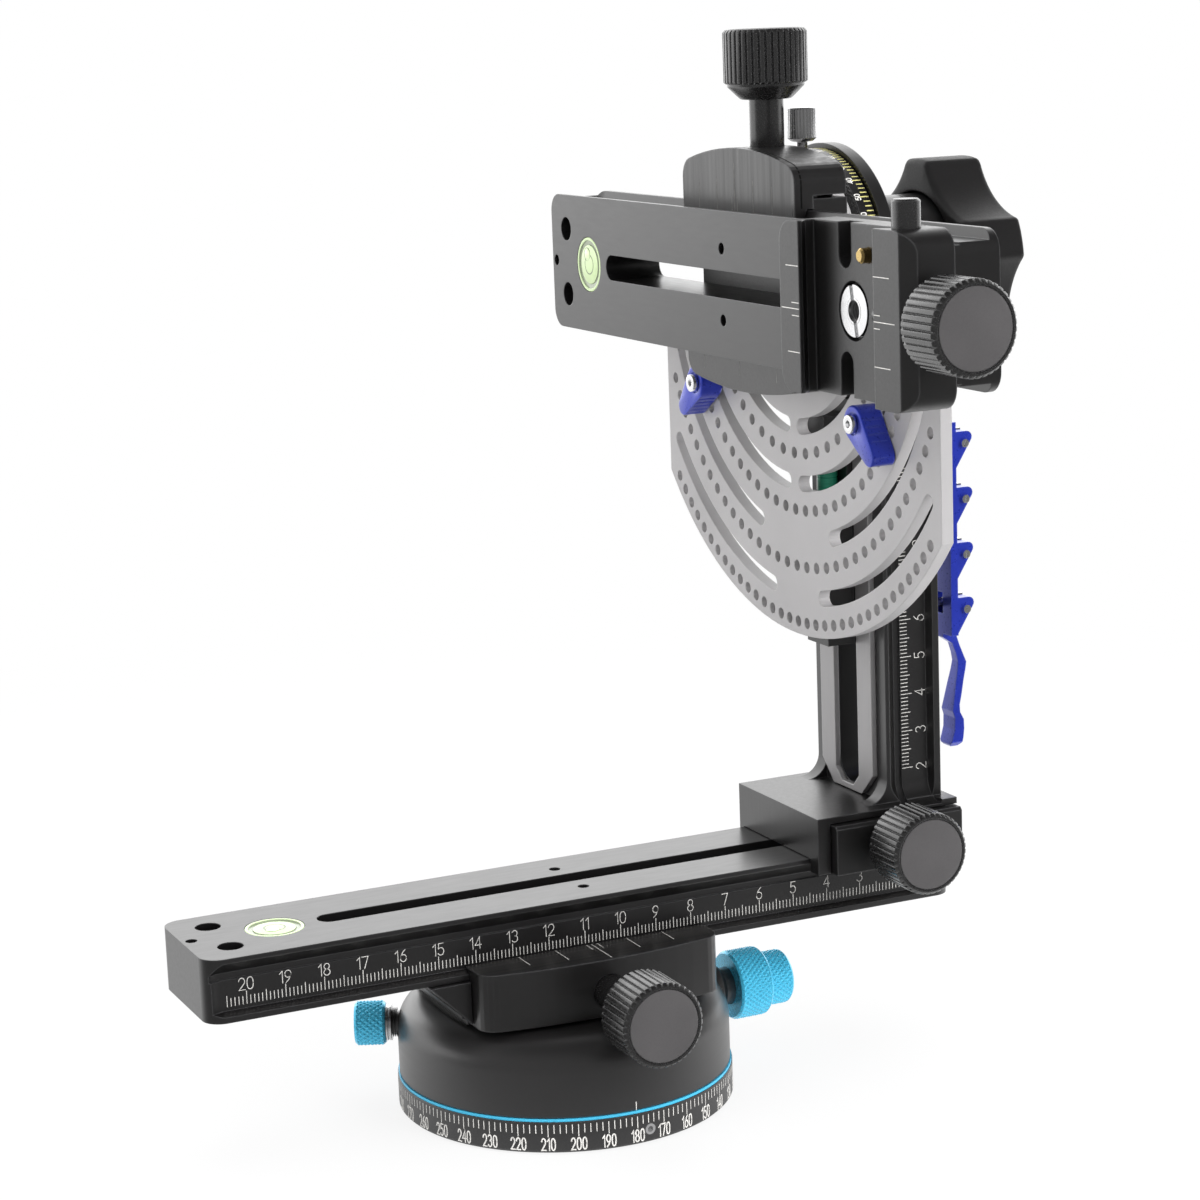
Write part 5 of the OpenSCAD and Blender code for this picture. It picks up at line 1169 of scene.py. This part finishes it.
class MakeStudio(bpy.types.Operator):
    """Sets up the pale floor, the soft lamps, the world and the camera at the photograph's viewing angle"""

    bl_idname = "tripod_head.studio"
    bl_label = "Studio"

    def execute(self, context):
        studio = context.scene.head_studio
        self.floor(studio)
        self.world(context, studio)
        for name, place, target, size, power in (
                ("lamp_top", (0.1, -0.1, 1.35), (0.0, 0.0, 0.1), 1.3, studio.top_power),
                ("lamp_left", (-1.25, -0.35, 0.75), (0.0, 0.0, 0.12), 1.1, studio.side_power),
                ("lamp_right", (0.7, -1.15, 0.6), (0.03, 0.0, 0.12), 0.8, 2.2 * studio.side_power),
                ("lamp_back", (0.5, 1.2, 0.9), (0.0, 0.0, 0.15), 1.0, 0.7 * studio.side_power)):
            data = bpy.data.lights.new(name, "AREA")
            data.shape, data.size, data.energy = "SQUARE", size, power
            lamp = bpy.data.objects.new(name, data)
            lamp.location = place
            lamp.rotation_euler = (Vector(target) - Vector(place)).to_track_quat("-Z", "Y").to_euler()
            lamp.visible_glossy = False
            context.scene.collection.objects.link(lamp)
        self.camera(context, studio)
        context.scene.view_settings.view_transform = "Standard"
        return {"FINISHED"}

    def floor(self, studio):
        """A flat sheet that curves up behind: the height is 0 up to the bend and then a quarter circle."""
        half = studio.floor_size / 2
        bend = 1.5
        a = np.linspace(0, np.pi / 2, 25)
        run = np.concatenate([[-half, 0.0, half - bend], half - bend + bend * np.sin(a[1:]), [half]])
        rise = np.concatenate([[0, 0, 0], bend * (1 - np.cos(a[1:])), [bend + 3.0]])
        across = np.linspace(-half, half, 9)
        yaw = math.radians(CAMERA_YAW)
        x = across[None, :] * math.cos(yaw) + run[:, None] * math.sin(yaw)
        y = -across[None, :] * math.sin(yaw) + run[:, None] * math.cos(yaw)
        points = np.stack([x, y, np.repeat(rise[:, None], 9, 1) - 0.0004], -1).reshape(-1, 3)
        i, j = np.arange(len(run) - 1)[:, None], np.arange(8)[None, :]
        faces = np.stack([i * 9 + j, i * 9 + j + 1, (i + 1) * 9 + j + 1, (i + 1) * 9 + j], -1).reshape(-1, 4)
        mesh = bpy.data.meshes.new("studio_floor")
        mesh.from_pydata(points.tolist(), [], faces.tolist())
        mesh.polygons.foreach_set("use_smooth", np.ones(len(mesh.polygons), bool))
        mesh.update()
        made = bpy.data.objects.new("studio_floor", mesh)
        bpy.context.scene.collection.objects.link(made)
        material = bpy.data.materials.new("studio_white")
        material.use_nodes = True
        tree = material.node_tree
        tree.nodes.clear()
        out = tree.nodes.new("ShaderNodeOutputMaterial")
        paper = tree.nodes.new("ShaderNodeBsdfDiffuse")
        paper.inputs["Color"].default_value = (0.82, 0.82, 0.82, 1)
        glow = tree.nodes.new("ShaderNodeEmission")
        depth = tree.nodes.new("ShaderNodeVectorMath")
        depth.operation = "DOT_PRODUCT"
        depth.inputs[1].default_value = (math.sin(yaw), math.cos(yaw), 0)
        place = tree.nodes.new("ShaderNodeNewGeometry").outputs["Position"]
        tree.links.new(place, depth.inputs[0])
        depth = depth.outputs["Value"]
        away = tree.nodes.new("ShaderNodeVectorMath")
        away.operation = "LENGTH"
        tree.links.new(place, away.inputs[0])
        path = tree.nodes.new("ShaderNodeLightPath")
        near = self.ramp(tree, away.outputs["Value"], 0.15, 0.6, 0.86, 1.0)
        seen = self.times(tree, path.outputs["Is Camera Ray"], near)
        shine = tree.nodes.new("ShaderNodeMix")
        shine.inputs["A"].default_value = 1.0
        tree.links.new(path.outputs["Is Glossy Ray"], shine.inputs["Factor"])
        tree.links.new(self.times(tree, self.ramp(tree, depth, -0.1, 0.06, studio.front_shine, 1.0),
                                  self.ramp(tree, depth, 0.8, 2.8, 1.0, studio.back_shine)), shine.inputs["B"])
        tree.links.new(shine.outputs["Result"], glow.inputs["Strength"])
        mix = tree.nodes.new("ShaderNodeMixShader")
        plain = self.most(tree, seen, path.outputs["Is Glossy Ray"], path.outputs["Is Transmission Ray"])
        tree.links.new(plain, mix.inputs[0])
        tree.links.new(paper.outputs[0], mix.inputs[1])
        tree.links.new(glow.outputs[0], mix.inputs[2])
        tree.links.new(mix.outputs[0], out.inputs["Surface"])
        mesh.materials.append(material)

    def math(self, tree, operation, a, b):
        """One Math node on two sockets."""
        node = tree.nodes.new("ShaderNodeMath")
        node.operation = operation
        tree.links.new(a, node.inputs[0])
        tree.links.new(b, node.inputs[1])
        return node.outputs[0]

    def times(self, tree, a, b):
        return self.math(tree, "MULTIPLY", a, b)

    def most(self, tree, *sockets):
        """The largest of several sockets."""
        total = sockets[0]
        for socket in sockets[1:]:
            total = self.math(tree, "MAXIMUM", total, socket)
        return total

    def ramp(self, tree, socket, start, end, low, high):
        """A smooth change from low to high as the socket goes from start to end."""
        node = tree.nodes.new("ShaderNodeMapRange")
        node.interpolation_type = "SMOOTHSTEP"
        for name, value in (("From Min", start), ("From Max", end), ("To Min", low), ("To Max", high)):
            node.inputs[name].default_value = value
        tree.links.new(socket, node.inputs["Value"])
        return node.outputs["Result"]

    def world(self, context, studio):
        """White where it is seen, even light on matt surfaces, and for glossy ones a dimmer front and ceiling."""
        world = bpy.data.worlds.new("studio_room")
        world.use_nodes = True
        tree = world.node_tree
        tree.nodes.clear()
        out = tree.nodes.new("ShaderNodeOutputWorld")
        light = tree.nodes.new("ShaderNodeBackground")
        path = tree.nodes.new("ShaderNodeLightPath")
        way = tree.nodes.new("ShaderNodeSeparateXYZ")
        tree.links.new(tree.nodes.new("ShaderNodeTexCoord").outputs["Generated"], way.inputs[0])
        shine = self.times(tree, self.ramp(tree, way.outputs["Y"], -0.1, 0.4, studio.front_shine, 1.2),
                           self.ramp(tree, way.outputs["Z"], 0.45, 0.9, 1.0, studio.ceiling_shine))
        mix = tree.nodes.new("ShaderNodeMix")
        mix.inputs["A"].default_value = studio.room_light
        tree.links.new(path.outputs["Is Glossy Ray"], mix.inputs["Factor"])
        tree.links.new(shine, mix.inputs["B"])
        tree.links.new(self.most(tree, mix.outputs["Result"], path.outputs["Is Camera Ray"],
                                 path.outputs["Is Transmission Ray"]), light.inputs["Strength"])
        light.inputs["Color"].default_value = (1, 1, 1, 1)
        tree.links.new(light.outputs[0], out.inputs["Surface"])
        context.scene.world = world

    def camera(self, context, studio):
        """The camera stands where the photograph's did, its level and upright directions turned by the roll."""
        yaw, pitch, roll = (math.radians(v) for v in (CAMERA_YAW, CAMERA_PITCH, CAMERA_ROLL))
        ahead = np.array([math.sin(yaw) * math.cos(pitch), math.cos(yaw) * math.cos(pitch), math.sin(pitch)])
        level = np.array([math.cos(yaw), -math.sin(yaw), 0])
        above = np.cross(level, ahead)
        right = level * math.cos(roll) + above * math.sin(roll)
        up = -level * math.sin(roll) + above * math.cos(roll)
        data = bpy.data.cameras.new("photo_camera")
        data.sensor_width, data.lens = 36.0, studio.lens
        data.clip_start, data.clip_end = 0.05, 50.0
        camera = bpy.data.objects.new("photo_camera", data)
        turn = Matrix(np.stack([right, up, -ahead], 1).tolist()).to_4x4()
        camera.matrix_world = Matrix.Translation(CAMERA_PLACE) @ turn
        context.scene.collection.objects.link(camera)
        context.scene.camera = camera


PIECES = (MakeFinishes, MakeRailScales, MakeTurntableScale, MakeTiltDial, MakeClampLines, MakeClampKnobs,
          MakePanControls, MakeLevels, MakeLobedKnob, MakeThumbscrew, MakeStopLevers, MakeSmallScrews, MakeStudio)


class TripodHeadPanel(bpy.types.Panel):
    """Sizes, colours and pieces of the tripod head"""

    bl_idname = "VIEW3D_PT_tripod_head"
    bl_label = "Tripod head"
    bl_space_type = "VIEW_3D"
    bl_region_type = "UI"
    bl_category = "Tripod head"

    def draw(self, context):
        for title, group in (("Sizes", context.scene.head_sizes), ("Colours", context.scene.head_colours),
                             ("Studio", context.scene.head_studio)):
            box = self.layout.box()
            box.label(text=title)
            for name in group.__annotations__:
                box.prop(group, name)
        for operator in PIECES:
            self.layout.operator(operator.bl_idname)


CLASSES = (HeadSizes, HeadColours, StudioSettings, *PIECES, TripodHeadPanel)


def register():
    for cls in CLASSES:
        bpy.utils.register_class(cls)
    bpy.types.Scene.head_sizes = bpy.props.PointerProperty(type=HeadSizes)
    bpy.types.Scene.head_colours = bpy.props.PointerProperty(type=HeadColours)
    bpy.types.Scene.head_studio = bpy.props.PointerProperty(type=StudioSettings)


def unregister():
    del bpy.types.Scene.head_sizes, bpy.types.Scene.head_colours, bpy.types.Scene.head_studio
    for cls in reversed(CLASSES):
        bpy.utils.unregister_class(cls)


def main():
    register()
    for operator in PIECES:
        group, name = operator.bl_idname.split(".")
        getattr(getattr(bpy.ops, group), name)()


if __name__ == "__main__":
    main()
